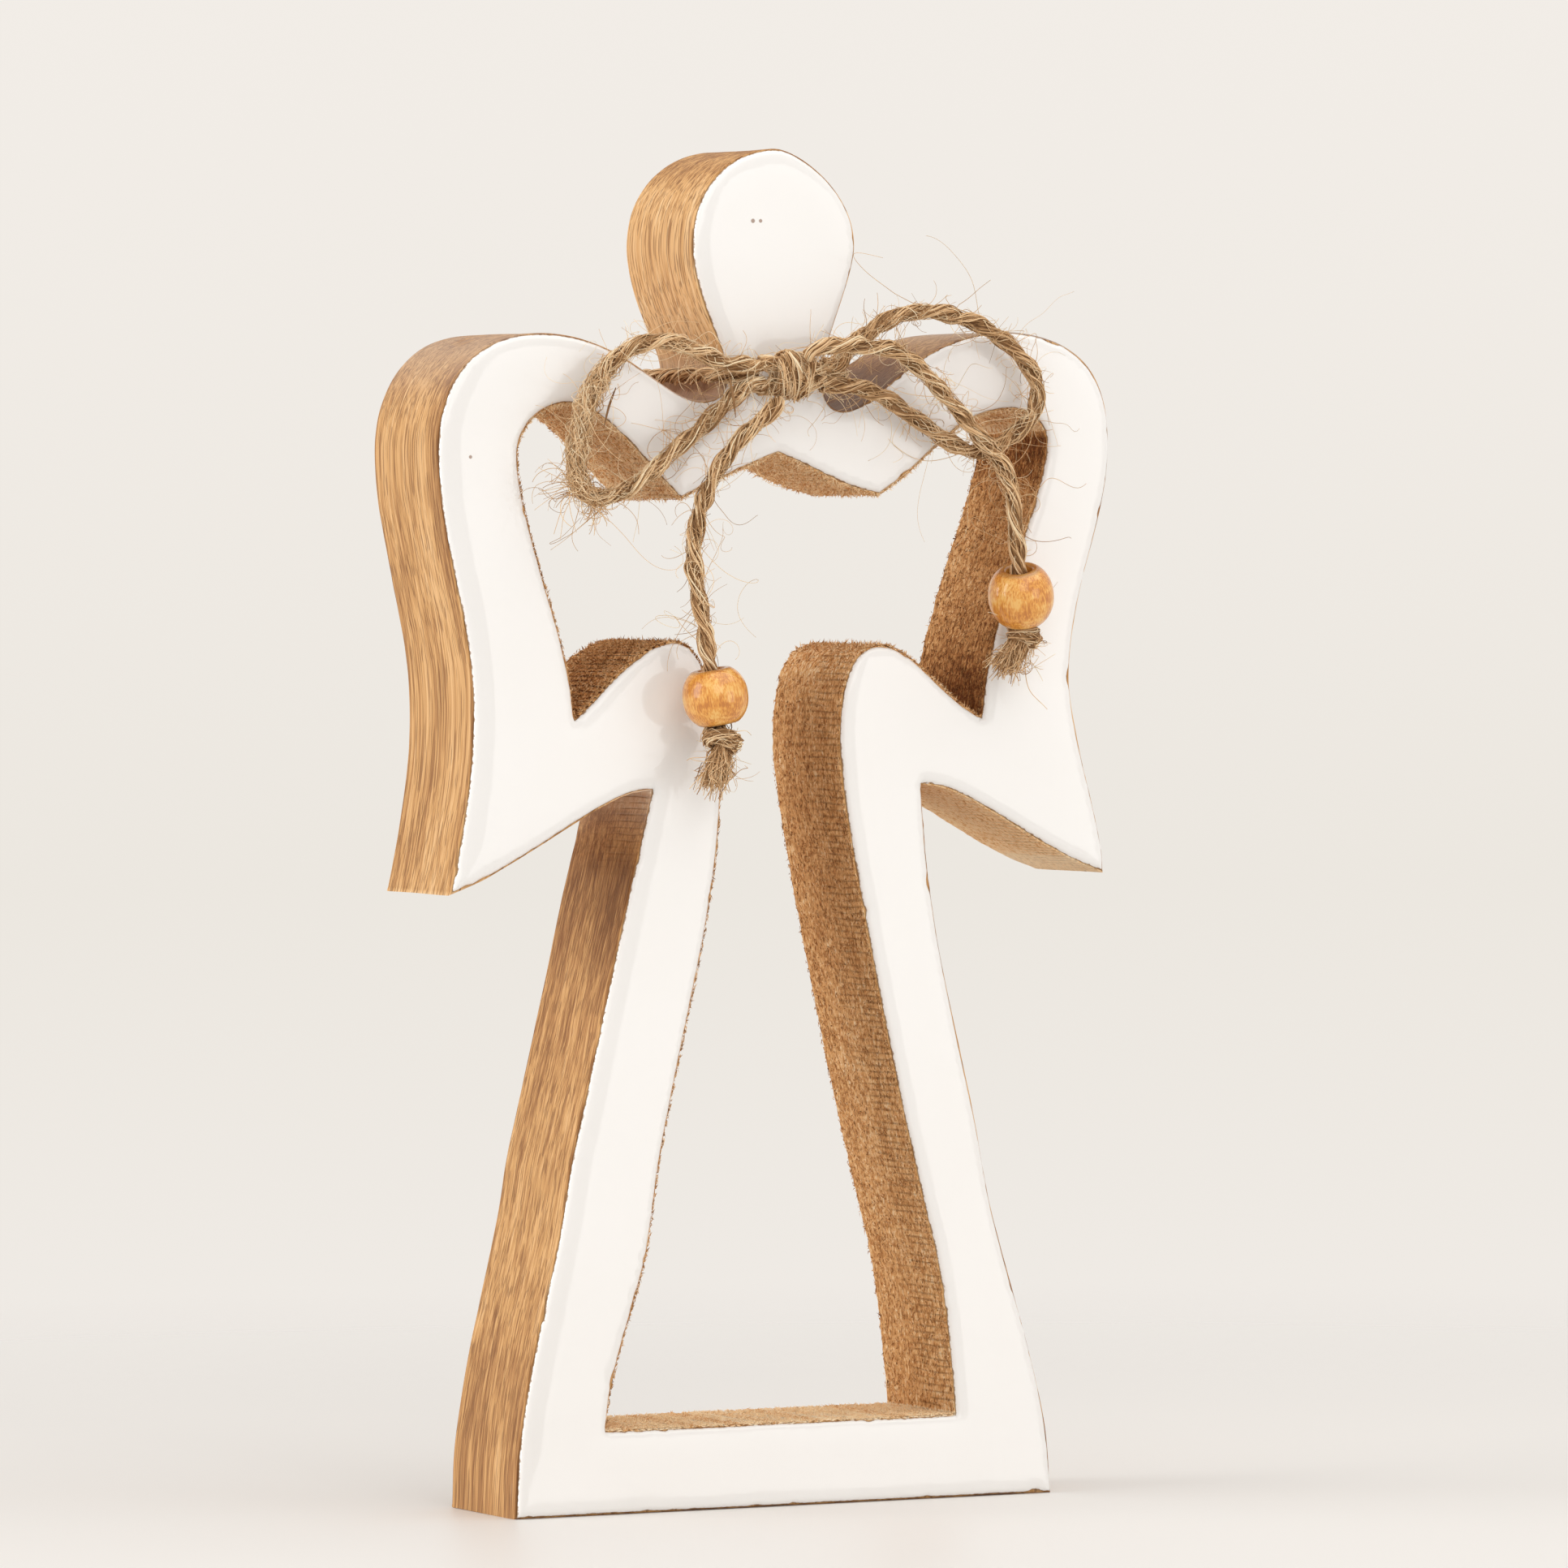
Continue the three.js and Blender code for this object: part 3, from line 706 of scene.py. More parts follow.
# %% [markdown]
# ## The board
# The outer edge was sanded and the inner one left from the saw, so the inner wall is cut into fine ridges
# across the thickness and torn into fuzz, while the outer one only rolls a little.
# Each wall is a strip of rows through the thickness, eased at both faces, and a flat cap closes each face.
# Five values ride along for the finish: how sawn, weathered, pale and lined a place is, and how far along
# the edge it lies. They are worked out first, from a place's height, its distance from the middle and the
# way it faces.

# %% How the wood looks from place to place
RIM = -11.45 * MM


def rows_through():
    """Depths through the board with the easing at each, from the front rim to the back."""
    ease = [(RIM, 0.20), (RIM + 0.08 * MM, 0.07), (RIM + 0.25 * MM, 0.0)]
    middle = [(y, 0.0) for y in np.linspace(RIM + 0.7 * MM, BACK - 0.9 * MM, 30)]
    return [*ease, *middle, (BACK - 0.45 * MM, 0.04), (BACK - 0.15 * MM, 0.18), (BACK, 0.5)]


ARMPITS = ((-0.0215, 0.111), (0.0245, 0.111))


def eased(low, high, value):
    """0 below low, 1 above high, smooth between."""
    t = min(1.0, max(0.0, (value - low) / (high - low)))
    return t * t * (3 - 2 * t)


def sawn_share(which, x, z):
    """From 0, sanded smooth, to 1, rough from the saw."""
    if which == "opening":
        return 1.0
    under_right = eased(0.030, 0.010, abs(x - 0.034)) * eased(0.090, 0.094, z) * eased(0.120, 0.112, z)
    return 0.8 * max(under_right, *[1 - eased(0.004, 0.016, math.hypot(x - a, z - b)) for a, b in ARMPITS])


def outer_paleness(x, z, nz):
    """How pale the sanded outer edge is: a half on most of it, darker on the legs, lighter on the head.

    The upper legs are darker partly as painted shadow under the wings, and the faces under the arms that
    look down are paler as painted light bounced up from the floor.
    """
    on_leg = eased(0.0505, 0.0470, abs(x)) * eased(0.120, 0.112, z)
    head = eased(0.176, 0.184, z) * eased(0.030, 0.022, abs(x))
    notch = eased(0.180, 0.174, z) * eased(0.030, 0.024, abs(x)) * eased(0.155, 0.160, z)
    pit = max(1 - eased(0.004, 0.013, math.hypot(x - a, z - b)) for a, b in ARMPITS)
    # Painted bounce light: faces under the arms that look down are made paler, as if lit from the floor.
    under_arm_bounce_light = eased(0.20, 0.55, -nz) * eased(0.085, 0.095, z) * eased(0.040, 0.030, abs(abs(x) - 0.045))
    # Darker low on the legs, and darker high on them where the wings hang over, partly painted shadow.
    leg_tone_and_shadow = 0.01 + 0.11 * eased(0.045, 0.010, z) + 0.30 * eased(0.060, 0.098, z)
    shade = -on_leg * leg_tone_and_shadow + 0.30 * pit + (0.27 - 0.44 * eased(0.5, 0.8, nz)) * head
    lip = eased(0.1072, 0.1086, z) * pit if x < 0 else 0.0
    arm = 0.32 if x < 0 else 0.46 + 0.54 * eased(0.026, 0.036, x)
    return 0.463 + shade + math.copysign(0.4, -x) * notch + arm * under_arm_bounce_light + 0.42 * lip


def inner_paleness(x, z, nz):
    """How pale the sawn inner edge is: palest on the sill and undersides, dark on the left arm's top.

    The undersides' paleness is painted light bounced up from the floor, and the left arm's top darkens
    towards the wing as painted shade.
    """
    if nz > 0.5 and z < 0.02:
        return 1.48 + 0.75 * ripple(x / (3.5 * MM), 3.0, 0.0)
    arm_top = eased(0.05, 0.55, nz) * eased(0.095, 0.105, z)
    # Painted bounce light: faces that look down are made paler, as if lit from the floor.
    under = eased(0.10, 0.50, -nz) * eased(0.125, 0.135, z)
    plain = 0.630 + 0.05 * eased(0.13, 0.03, z) - 0.50 * eased(0.026, 0.034, x) * eased(0.100, 0.115, z)
    # Painted shade: the left arm's top darkens towards the pocket where it meets the wing.
    top = 0.24 + 0.42 * eased(0.110, 0.127, z) if x < 0 else 0.85
    return plain + (top - plain) * arm_top + (1.12 - plain) * under


def weathered_share(which, x, z, nz):
    """From 0 to 1, where the wood has gone grey: the notches by the neck, the wing tops and one armpit."""
    if which == "opening":
        return 0.0
    notch = math.exp(-(((z - 0.169) / 0.008) ** 4) - ((abs(x) - 0.017) / 0.012) ** 4)
    above = (z - 0.181) / 0.009
    aside = (abs(x + 0.003) - 0.047) / 0.014
    wing = math.exp(-(above**2) - aside**2) * eased(0.1, 0.6, nz)
    wing *= 1.0 if x > 0 else 0.55
    a, b = ARMPITS[0]
    pit = math.exp(-(((x - a) / 0.005) ** 2) - ((z - b) / 0.006) ** 2)
    return min(1.0, notch + wing + 0.8 * pit)


def lined_share(x, z, nz):
    """How plainly the saw's lines show: rows on the left arm's top, lines in the legs, few in the wings."""
    arm_top = eased(0.10, 0.50, nz) * eased(0.095, 0.105, z) * eased(0.006, -0.006, x)
    return 0.25 + 0.75 * max(eased(0.112, 0.096, z), eased(0.026, 0.020, abs(x))) + 1.1 * arm_top


def relief(sawn, rough, s, y, seed):
    """How far a place of the wall stands out, in metres."""
    u, v = s / MM, y / MM
    ridge = ripple(u / 1.05, v / 45 + seed, 1.7) * 0.12 + ripple(u / 2.6, v / 30, seed + 4) * 0.07
    torn = ripple(u / 0.55, v / 0.8, seed + 9) * 0.07
    rolled = ripple(u / 11, v / 14, seed + 20) * 0.16 + ripple(u / 3.5, v / 9, seed + 31) * 0.04
    return (sawn * (ridge + torn) * (1 + rough) + (1 - sawn) * rolled - 0.05) * MM


print("rows through the board:", len(rows_through()))

# %% Walls and caps of the board
PALENESS = {"outside": outer_paleness, "opening": inner_paleness}
RELIEF_SEED = {"outside": 0.0, "opening": 50.0}
MARKS = ("sawn", "weathered", "along", "pale", "lined")
PLAIN_MARKS = (0.0, 0.0, 0.0, 0.48, 0.0)
CREASE = math.radians(50)


def wall(which, edge, points, faces, marks):
    """Adds one wall's rows and returns the rings that the caps start from."""
    place, normal, along = edge
    first, n, rows = len(points), len(place), rows_through()
    for (x, z), (nx, nz), s in zip(place, normal, along):
        sawn = sawn_share(which, x, z)
        rough = 1.4 * max(0.0, nz) if which == "opening" else 0.0
        dull = weathered_share(which, x, z, nz)
        mark = (sawn, dull, s / MM, PALENESS[which](x, z, nz), lined_share(x, z, nz))
        for y, ease in rows:
            out = relief(sawn, rough, s, y, RELIEF_SEED[which]) - ease * MM
            points.append((x + nx * out, y, z + nz * out))
            marks.append(mark)
    front = [first + i * len(rows) for i in range(n)]
    for a, b in zip(front, front[1:] + front[:1]):
        faces += [(a + j, a + j + 1, b + j + 1, b + j) for j in range(len(rows) - 1)]
    return front, [a + len(rows) - 1 for a in front]


def inside(point, loop):
    """Whether a flat point lies within a closed loop."""
    a, b = loop, np.roll(loop, -1, 0)
    over = (a[:, 1] > point[1]) != (b[:, 1] > point[1])
    if not over.any():
        return False
    a, b = a[over], b[over]
    crossing = a[:, 0] + (point[1] - a[:, 1]) / (b[:, 1] - a[:, 1]) * (b[:, 0] - a[:, 0])
    return bool((crossing > point[0]).sum() % 2)


def between(point, outer, inner):
    """Whether a flat point lies within the outer loop and not within the inner one."""
    return inside(point, outer) and not inside(point, inner)


def cap(rings, points, marks, flip):
    """Triangles of bare sanded wood between an outer ring and the ring of the opening."""
    ids = [i for ring in rings for i in ring]
    level = points[ids[0]][1]
    flat = [Vector((points[i][0], points[i][2])) for i in ids]
    sides, at = [], 0
    for ring in rings:
        sides += [(at + k, at + (k + 1) % len(ring)) for k in range(len(ring))]
        at += len(ring)
    places, _, tris, _, _, _ = geometry.delaunay_2d_cdt(flat, sides, [], 0, 1e-9)
    rim = np.array(flat[: len(rings[0])])
    hole = np.array(flat[len(rings[0]) :])
    first = len(points)
    points += [(x, level, z) for x, z in places]
    marks += [PLAIN_MARKS] * len(places)
    kept = []
    for tri in tris:
        middle = np.mean([places[v] for v in tri], axis=0)
        if between(middle, rim, hole):
            corners = [first + v for v in tri]
            kept.append(corners[::-1] if flip else corners)
    return kept


def board():
    """The board's two walls and two caps as one piece, with the five values at each point."""
    points, faces, marks = [], [], []
    rings = [wall(which, edge, points, faces, marks) for which, edge in edges.items()]
    faces += cap([r[0] for r in rings], points, marks, False)
    faces += cap([r[1] for r in rings], points, marks, True)
    piece = made_piece("board", points, faces, dict(zip(MARKS, np.array(marks).T)))
    piece.data.set_sharp_from_angle(angle=CREASE)
    return piece


wood = board()
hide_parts("wood_body")
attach(wood, "figure")
print("board points:", len(wood.data.vertices), "faces:", len(wood.data.polygons))

# %% [markdown]
# ## Torn wood fibres
# The saw leaves short torn fibres, most of all where it cut across the grain: on the tops of the arms, on
# the sill and under the wings. Each is a thin spike. Most lie flat and make the wall look like a mat, and
# the rest stand off it and roughen its outline.

# %% Torn fibres on the sawn edges
TORN_FIBRES = 56000


def torn_fibres(count):
    """Three-sided spikes of wood. Some stand off the sawn wall, most lie along it."""
    place, normal, _ = edges["opening"]
    cross = np.abs(normal[:, 1])
    pale = np.array([inner_paleness(x, z, nz) for (x, z), (_, nz) in zip(place, normal)])
    i = rng.choice(len(place), count, p=(0.5 + cross) / (0.5 + cross).sum())
    nothing = np.zeros(count)
    out = np.column_stack((normal[i, 0], nothing, normal[i, 1]))
    run = np.column_stack((-normal[i, 1], nothing, normal[i, 0]))
    deep = rng.uniform(RIM, BACK - 0.2 * MM, count)
    at_rim = rng.random(count) < 0.12
    deep[at_rim] = RIM + np.abs(rng.normal(0, 0.5, at_rim.sum())) * MM
    stands = rng.random(count) < 0.08 + 0.22 * cross[i]
    turn = rng.normal(0, 0.45 + 1.2 * cross[i]) + rng.choice((0, math.pi), count)
    rise = np.where(stands, rng.uniform(0.7, 2.2, count), rng.uniform(0.02, 0.30, count))
    back = np.array((0.0, 1.0, 0.0))
    way = out * rise[:, None] + run * np.cos(turn)[:, None] + back * np.sin(turn)[:, None]
    way /= np.linalg.norm(way, axis=1)[:, None]
    tall = 0.6 + np.where(place[i, 1] > 0.1, 1.2, 0.4) * cross[i]
    long = np.where(stands, rng.uniform(0.20, 0.62, count) * tall, rng.uniform(0.3, 0.9, count)) * MM
    wide = np.where(stands, rng.uniform(0.07, 0.17, count), rng.uniform(0.05, 0.12, count)) * MM
    aside = rng.uniform(-0.25, 0.25, count)[:, None]
    root = np.column_stack((place[i, 0], deep, place[i, 1])) + run * aside * MM
    root += out * np.where(stands, -0.08, rng.uniform(-0.02, 0.06, count))[:, None] * MM
    a = np.cross(way, (0.31, 0.82, 0.48))
    a /= np.linalg.norm(a, axis=1)[:, None]
    b = np.cross(way, a)
    corners = [root + (a * math.cos(t) + b * math.sin(t)) * wide[:, None] for t in (0.0, 2.09, 4.19)]
    tip = root + way * long[:, None] + rng.normal(0, 0.12, (count, 3)) * long[:, None]
    points = np.stack((*corners, tip), axis=1).reshape(-1, 3)
    sides = np.array(((0, 1, 3), (1, 2, 3), (2, 0, 3)))
    faces = (np.arange(count)[:, None, None] * 4 + sides).reshape(-1, 3)
    tones = np.clip(rng.beta(1.4, 1.3, count) * 0.95 + (pale[i] - 0.66) * 0.9, 0, 1)
    values = {"fibre_tone": np.repeat(tones, 4)}
    return made_piece("torn_fibres", points.tolist(), faces.tolist(), values, smooth=False)


torn = torn_fibres(TORN_FIBRES)
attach(torn, "figure")
print("torn fibre points:", len(torn.data.vertices))

# %% [markdown]
# ## The white coat
# The enamel was poured thick, so it swells from a thin ragged edge to a flat front about 4 mm further in.
# The coat is a fine mesh of the front's shape, and the height of each point comes from how far it lies from
# the edge. The edge itself wanders and is chipped, which leaves a thin line of bare wood round the front.

# %% The coat's edge and slope
HEM_SEED = {"outside": 3.0, "opening": 17.0}
SLOPE_WIDTH = 2.9 * MM
SLOPE_SOFTNESS = 0.70 * MM
LIP_WIDTH = 0.22 * MM
LIP_DEPTH = 0.60 * MM


def ragged_edge(which, edge):
    """The coat's edge: the outline drawn in by a thin, uneven hem with a few chips."""
    place, normal, along = edge
    seed = HEM_SEED[which]
    hem = []
    for s in along / MM:
        slow = ripple(s / 7, seed, 0.3)
        fine = ripple(s / 1.6, seed, 5.1)
        chip = max(0.0, ripple(s / 2.6, seed, 9.4) - 0.42)
        hem.append(0.33 + 0.07 * slow + 0.06 * fine + 0.9 * chip)
    return place - normal * (np.array(hem) * MM)[:, None]


def distance_to(lines, points):
    """How far each flat point lies from the nearest of the closed lines."""
    tree = kdtree.KDTree(sum(len(line) for line in lines))
    joined, k = [], 0
    for line in lines:
        for i in range(len(line)):
            tree.insert((*line[i], 0), k)
            joined.append((line[i - 1], line[i], line[(i + 1) % len(line)]))
            k += 1
    tree.balance()
    out = []
    for p in points:
        _, i, _ = tree.find((*p, 0))
        before, at, after = joined[i]
        least = 1.0
        for q in (before, after):
            d = q - at
            t = min(1.0, max(0.0, float(np.dot(p - at, d) / max(np.dot(d, d), 1e-18))))
            least = min(least, float(np.linalg.norm(p - at - d * t)))
        out.append(least)
    return np.array(out)


def coat_depth(d, z):
    """The y of the coat's front by the distance from its edge and the height.

    The slope turns into the flat front and dies out towards the foot, and the edge itself rolls back.
    """
    slope = SLOPE_SOFTNESS * np.logaddexp(0, (SLOPE_WIDTH - d) / SLOPE_SOFTNESS)
    lip = np.exp(-d / LIP_WIDTH)
    return FACE + np.interp(z, (3 * MM, 10 * MM), (0.02, 0.11)) * slope + LIP_DEPTH * lip


print("coat at its edge and well inside, y in mm:", np.round(coat_depth(np.array((0, 0.02)), 0.1) / MM, 2))

# %% The white coat
COAT_STEP = 0.85 * MM
ROW_SHARE = 0.87
COAT_RINGS = (0.12, 0.32, 0.62)
CLEAR_SHARE = 0.85


def coat_points(lines):
    """Flat points that fill the coat: close rings along its edges, then an even grid."""
    rings = []
    for line, (_, normal, _) in zip(lines, edges.values()):
        for inward in COAT_RINGS:
            ring = line - normal * inward * MM
            rings.append(ring[distance_to(lines, ring) > CLEAR_SHARE * inward * MM])
    low, high = outside.min(0), outside.max(0)
    grid = []
    for row, z in enumerate(np.arange(low[1], high[1], COAT_STEP * ROW_SHARE)):
        grid += [(x + row % 2 * COAT_STEP / 2, z) for x in np.arange(low[0], high[0], COAT_STEP)]
    grid = np.array([p for p in grid if between(p, *lines)])
    grid = grid[distance_to(lines, grid) > COAT_STEP]
    return np.vstack((*rings, grid))


def white_coat():
    """The coat as one fine mesh between its ragged edges, with each point's distance from them."""
    lines = [ragged_edge(which, edge) for which, edge in edges.items()]
    flat, sides = [], []
    for line in lines:
        base = len(flat)
        flat += [Vector(p) for p in line]
        sides += [(base + k, base + (k + 1) % len(line)) for k in range(len(line))]
    border = len(flat)
    flat += [Vector(p) for p in coat_points(lines)]
    places, _, tris, source, _, _ = geometry.delaunay_2d_cdt(flat, sides, [], 0, 1e-9)
    places = np.array(places)
    reach = distance_to(lines, places)
    reach[[i for i, s in enumerate(source) if s and s[0] < border]] = 0.0
    points = np.column_stack((places[:, 0], coat_depth(reach, places[:, 1]), places[:, 1]))
    middles = places[np.array(tris)].mean(axis=1)
    faces = [tuple(tri) for tri, m in zip(tris, middles) if between(m, *lines)]
    piece = made_piece("white_coat", points.tolist(), faces, {"from_edge": reach / MM})
    if sum(p.normal.y * p.area for p in piece.data.polygons) > 0:
        piece.data.flip_normals()
    return piece


coat = white_coat()
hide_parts("front_enamel")
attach(coat, "figure")
print("coat points:", len(coat.data.vertices), "faces:", len(coat.data.polygons))

# %% [markdown]
# ## Mixing a finish
# A finish is a tree of shader nodes. A small class wraps a socket, so that sums on sockets can be written as
# plain Python, and one method adds any other node: first its settings, then its sockets.

# %% Sockets that take arithmetic
class Wire:
    """An output of a node, which arithmetic extends with Math nodes."""

    def __init__(self, finish, socket):
        self.finish, self.socket = finish, socket

    def maths(self, operation, a, b=0.0):
        return self.finish.add("ShaderNodeMath", {"operation": operation}, [a, b])

    def __add__(self, other):
        return self.maths("ADD", self, other)

    def __sub__(self, other):
        return self.maths("SUBTRACT", self, other)

    def __mul__(self, other):
        return self.maths("MULTIPLY", self, other)

    def __rsub__(self, other):
        return self.maths("SUBTRACT", other, self)

    __radd__, __rmul__ = __add__, __mul__


class Finish:
    """The shader tree of a material or world and the one method that adds nodes to it."""

    def __init__(self, owner):
        owner.use_nodes = True
        self.owner, self.tree = owner, owner.node_tree
        self.tree.nodes.clear()

    def add(self, kind, settings=None, sockets=(), out=0):
        """A node of a kind: its settings first, then its sockets' values or links, by name or in order."""
        node = self.tree.nodes.new(kind)
        for key, value in (settings or {}).items():
            if key == "stops":
                ramp = node.color_ramp.elements
                while len(ramp) < len(value):
                    ramp.new(0.5)
                for stop, (at, colour) in zip(ramp, value):
                    stop.position, stop.color = at, (*colour, 1)
            else:
                setattr(node, key, value)
        for key, value in sockets.items() if isinstance(sockets, dict) else enumerate(sockets):
            socket = node.inputs[key]
            if isinstance(value, Wire):
                self.tree.links.new(value.socket, socket)
            else:
                socket.default_value = (*value, 1) if socket.type == "RGBA" else value
        return Wire(self, node.outputs[out]) if len(node.outputs) else node

    def coords(self):
        """The place of a point in the frame, in metres."""
        return self.add("ShaderNodeTexCoord", out="Object")

    def part(self, vector, axis):
        """One of a vector's X, Y and Z."""
        return self.add("ShaderNodeSeparateXYZ", None, [vector], out=axis)

    def size(self, value):
        """A value without its sign."""
        return self.add("ShaderNodeMath", {"operation": "ABSOLUTE"}, [value])

    def ray(self, kind):
        """1 for rays of a kind, such as Is Camera Ray, and 0 for others."""
        return self.add("ShaderNodeLightPath", out=kind)

    def grain(self, vector, scale, detail=3.0, rough=0.55):
        """Noise from 0 to 1 over a vector stretched by three scales."""
        stretched = self.add("ShaderNodeVectorMath", {"operation": "MULTIPLY"}, [vector, scale])
        sockets = {"Vector": stretched, "Scale": 1.0, "Detail": detail, "Roughness": rough}
        return self.add("ShaderNodeTexNoise", None, sockets, out="Fac")

    def mark(self, name):
        """A number that the piece's points carry under a name."""
        return self.add("ShaderNodeAttribute", {"attribute_name": name}, out="Fac")

    def step(self, value, low, high):
        """0 below low, 1 above high, smooth between."""
        settings = {"interpolation_type": "SMOOTHSTEP", "clamp": True}
        return self.add("ShaderNodeMapRange", settings, {"Value": value, "From Min": low, "From Max": high})

    def ramp(self, value, stops):
        """A colour picked by a value from stops of a place and a colour each."""
        return self.add("ShaderNodeValToRGB", {"stops": stops}, [value])

    def tint(self, share, a, b, how="MIX"):
        """Colour b over colour a by a share."""
        settings = {"data_type": "RGBA", "blend_type": how}
        return self.add("ShaderNodeMix", settings, {0: share, 6: a, 7: b}, out=2)

    def bump(self, height, distance, strength):
        """A normal tilted by a height, whose full range stands for a distance in metres."""
        sockets = {"Height": height, "Distance": distance, "Strength": strength}
        return self.add("ShaderNodeBump", None, sockets)

    def surface(self, sockets):
        """Closes a material with one shader and gives it back."""
        shader = self.add("ShaderNodeBsdfPrincipled", None, sockets)
        self.add("ShaderNodeOutputMaterial", None, {"Surface": shader})
        return self.owner


print("ways to add a node:", [name for name in vars(Finish) if name[0] != "_"])

# %% [markdown]
# ## Jute
# Jute is dry and straw-brown, and no two fibres match. The tone of each fibre picks its colour from dark
# bark brown to pale straw, and a slow stain over the whole bow shifts it along the string.

# %% Jute finish
JUTE = (
    (0.0, (0.170, 0.078, 0.028)), (0.25, (0.400, 0.220, 0.094)), (0.50, (0.690, 0.432, 0.217)),
    (0.75, (0.855, 0.600, 0.345)), (1.0, (0.940, 0.765, 0.515)),
)


def jute():
    """Dry jute, whose fibres take their colour from their own tone, a stain and fine streaks."""
    f = Finish(bpy.data.materials.new("jute"))
    at = f.coords()
    stain = f.grain(at, (160, 160, 160), 2)
    streak = f.grain(at, (900, 900, 900), 2)
    tone = f.mark("fibre_tone") * 1.02 + stain * 0.34 + streak * 0.34 - 0.275
    return f.surface({"Base Color": f.ramp(tone, JUTE), "Roughness": 0.62, "Specular IOR Level": 0.25})


jute_finish = jute()
strung = (*cords.values(), knot, *stops.values(), *ends.values(), *hairs.values())
for piece in strung:
    piece.data.materials.append(jute_finish)
print("jute on", len(strung), "pieces")

# %% [markdown]
# ## Bare wood
# The grain runs up the board and its growth rings lie nearly flat. Noise that changes slowly along the
# height, faster across the width and fastest through the thickness gives long streaks on the upright edges
# and short dashes where an edge cuts across the grain. Sawn places are browner and speckled, with dark lines
# across the thickness that show most near the front, and they are warmer where the saw cut across the grain.
# The dark lines are partly painted shadow under the saw's ridges, and the pale tops of the ridges between the
# plainest are partly painted highlight. The edge's paleness also carries painted light: undersides are paler
# as if lit from the floor, and the upper legs and the left arm's top are darker, partly with painted shade.
# The weathered notches beside the neck go grey and purplish, and here and there a smear of the white coat has
# run over the front corner.

# %% Colours of the wood
SANDED = (
    (0.10, (0.222, 0.091, 0.029)), (0.30, (0.400, 0.192, 0.070)), (0.50, (0.606, 0.328, 0.126)),
    (0.70, (0.745, 0.442, 0.200)), (0.95, (0.830, 0.560, 0.300)),
)
SAWN = (
    (0.05, (0.170, 0.058, 0.016)), (0.30, (0.420, 0.182, 0.058)), (0.50, (0.640, 0.330, 0.126)),
    (0.70, (0.800, 0.470, 0.210)), (0.90, (0.900, 0.640, 0.370)), (1.0, (0.970, 0.790, 0.550)),
)
GREYED = (
    (0.20, (0.230, 0.146, 0.108)), (0.475, (0.430, 0.345, 0.300)),
    (0.90, (0.580, 0.400, 0.310)), (1.0, (0.760, 0.590, 0.490)),
)
TORN = (
    (0.0, (0.210, 0.088, 0.030)), (0.5, (0.620, 0.333, 0.132)),
    (0.9, (0.890, 0.605, 0.335)), (1.0, (0.950, 0.730, 0.465)),
)
WARMED = (1.0, 0.90, 0.78)
# The saw's dark line colour is partly painted shadow, and its crest colour partly painted highlight.
SAW_MARK_AND_SHADOW = (0.150, 0.058, 0.018)
SAW_CREST_HIGHLIGHT = (0.780, 0.385, 0.130)
VEIN = (0.330, 0.140, 0.048)
PORE = (0.222, 0.093, 0.032)
COAT_SMEAR = (0.860, 0.835, 0.800)
print("stops of the wood's ramps:", [len(ramp) for ramp in (SANDED, SAWN, GREYED, TORN)])


# %% Bare wood finish
def saw_lines_and_shading(f, along, depth, lined, blotch):
    """Dark lines that the teeth left across the thickness, partly painted shadow under the ridges, and the
    pale ridge tops between the plainest, partly painted highlight.
    """
    saw_at = f.add("ShaderNodeCombineXYZ", None, [along, depth * 1000, 0.0])
    tooth = along * 0.98 + f.grain(saw_at, (0.10, 0.05, 1), 2) * 1.2
    kerf = f.add("ShaderNodeMath", {"operation": "PINGPONG"}, [tooth, 0.5])
    near_front = 1 - f.step(depth + (blotch - 0.5) * 0.02, -0.004, 0.004)
    broken = f.step(f.grain(saw_at, (0.60, 0.14, 1), 3), 0.32, 0.54)
    rows = f.step(lined, 1.0, 1.3)
    lines = (1 - f.step(kerf, 0.03, 0.24)) * broken * (near_front * lined * 0.62 + rows * 0.95 + 0.08)
    return lines, f.step(kerf, 0.28, 0.48) * rows * broken


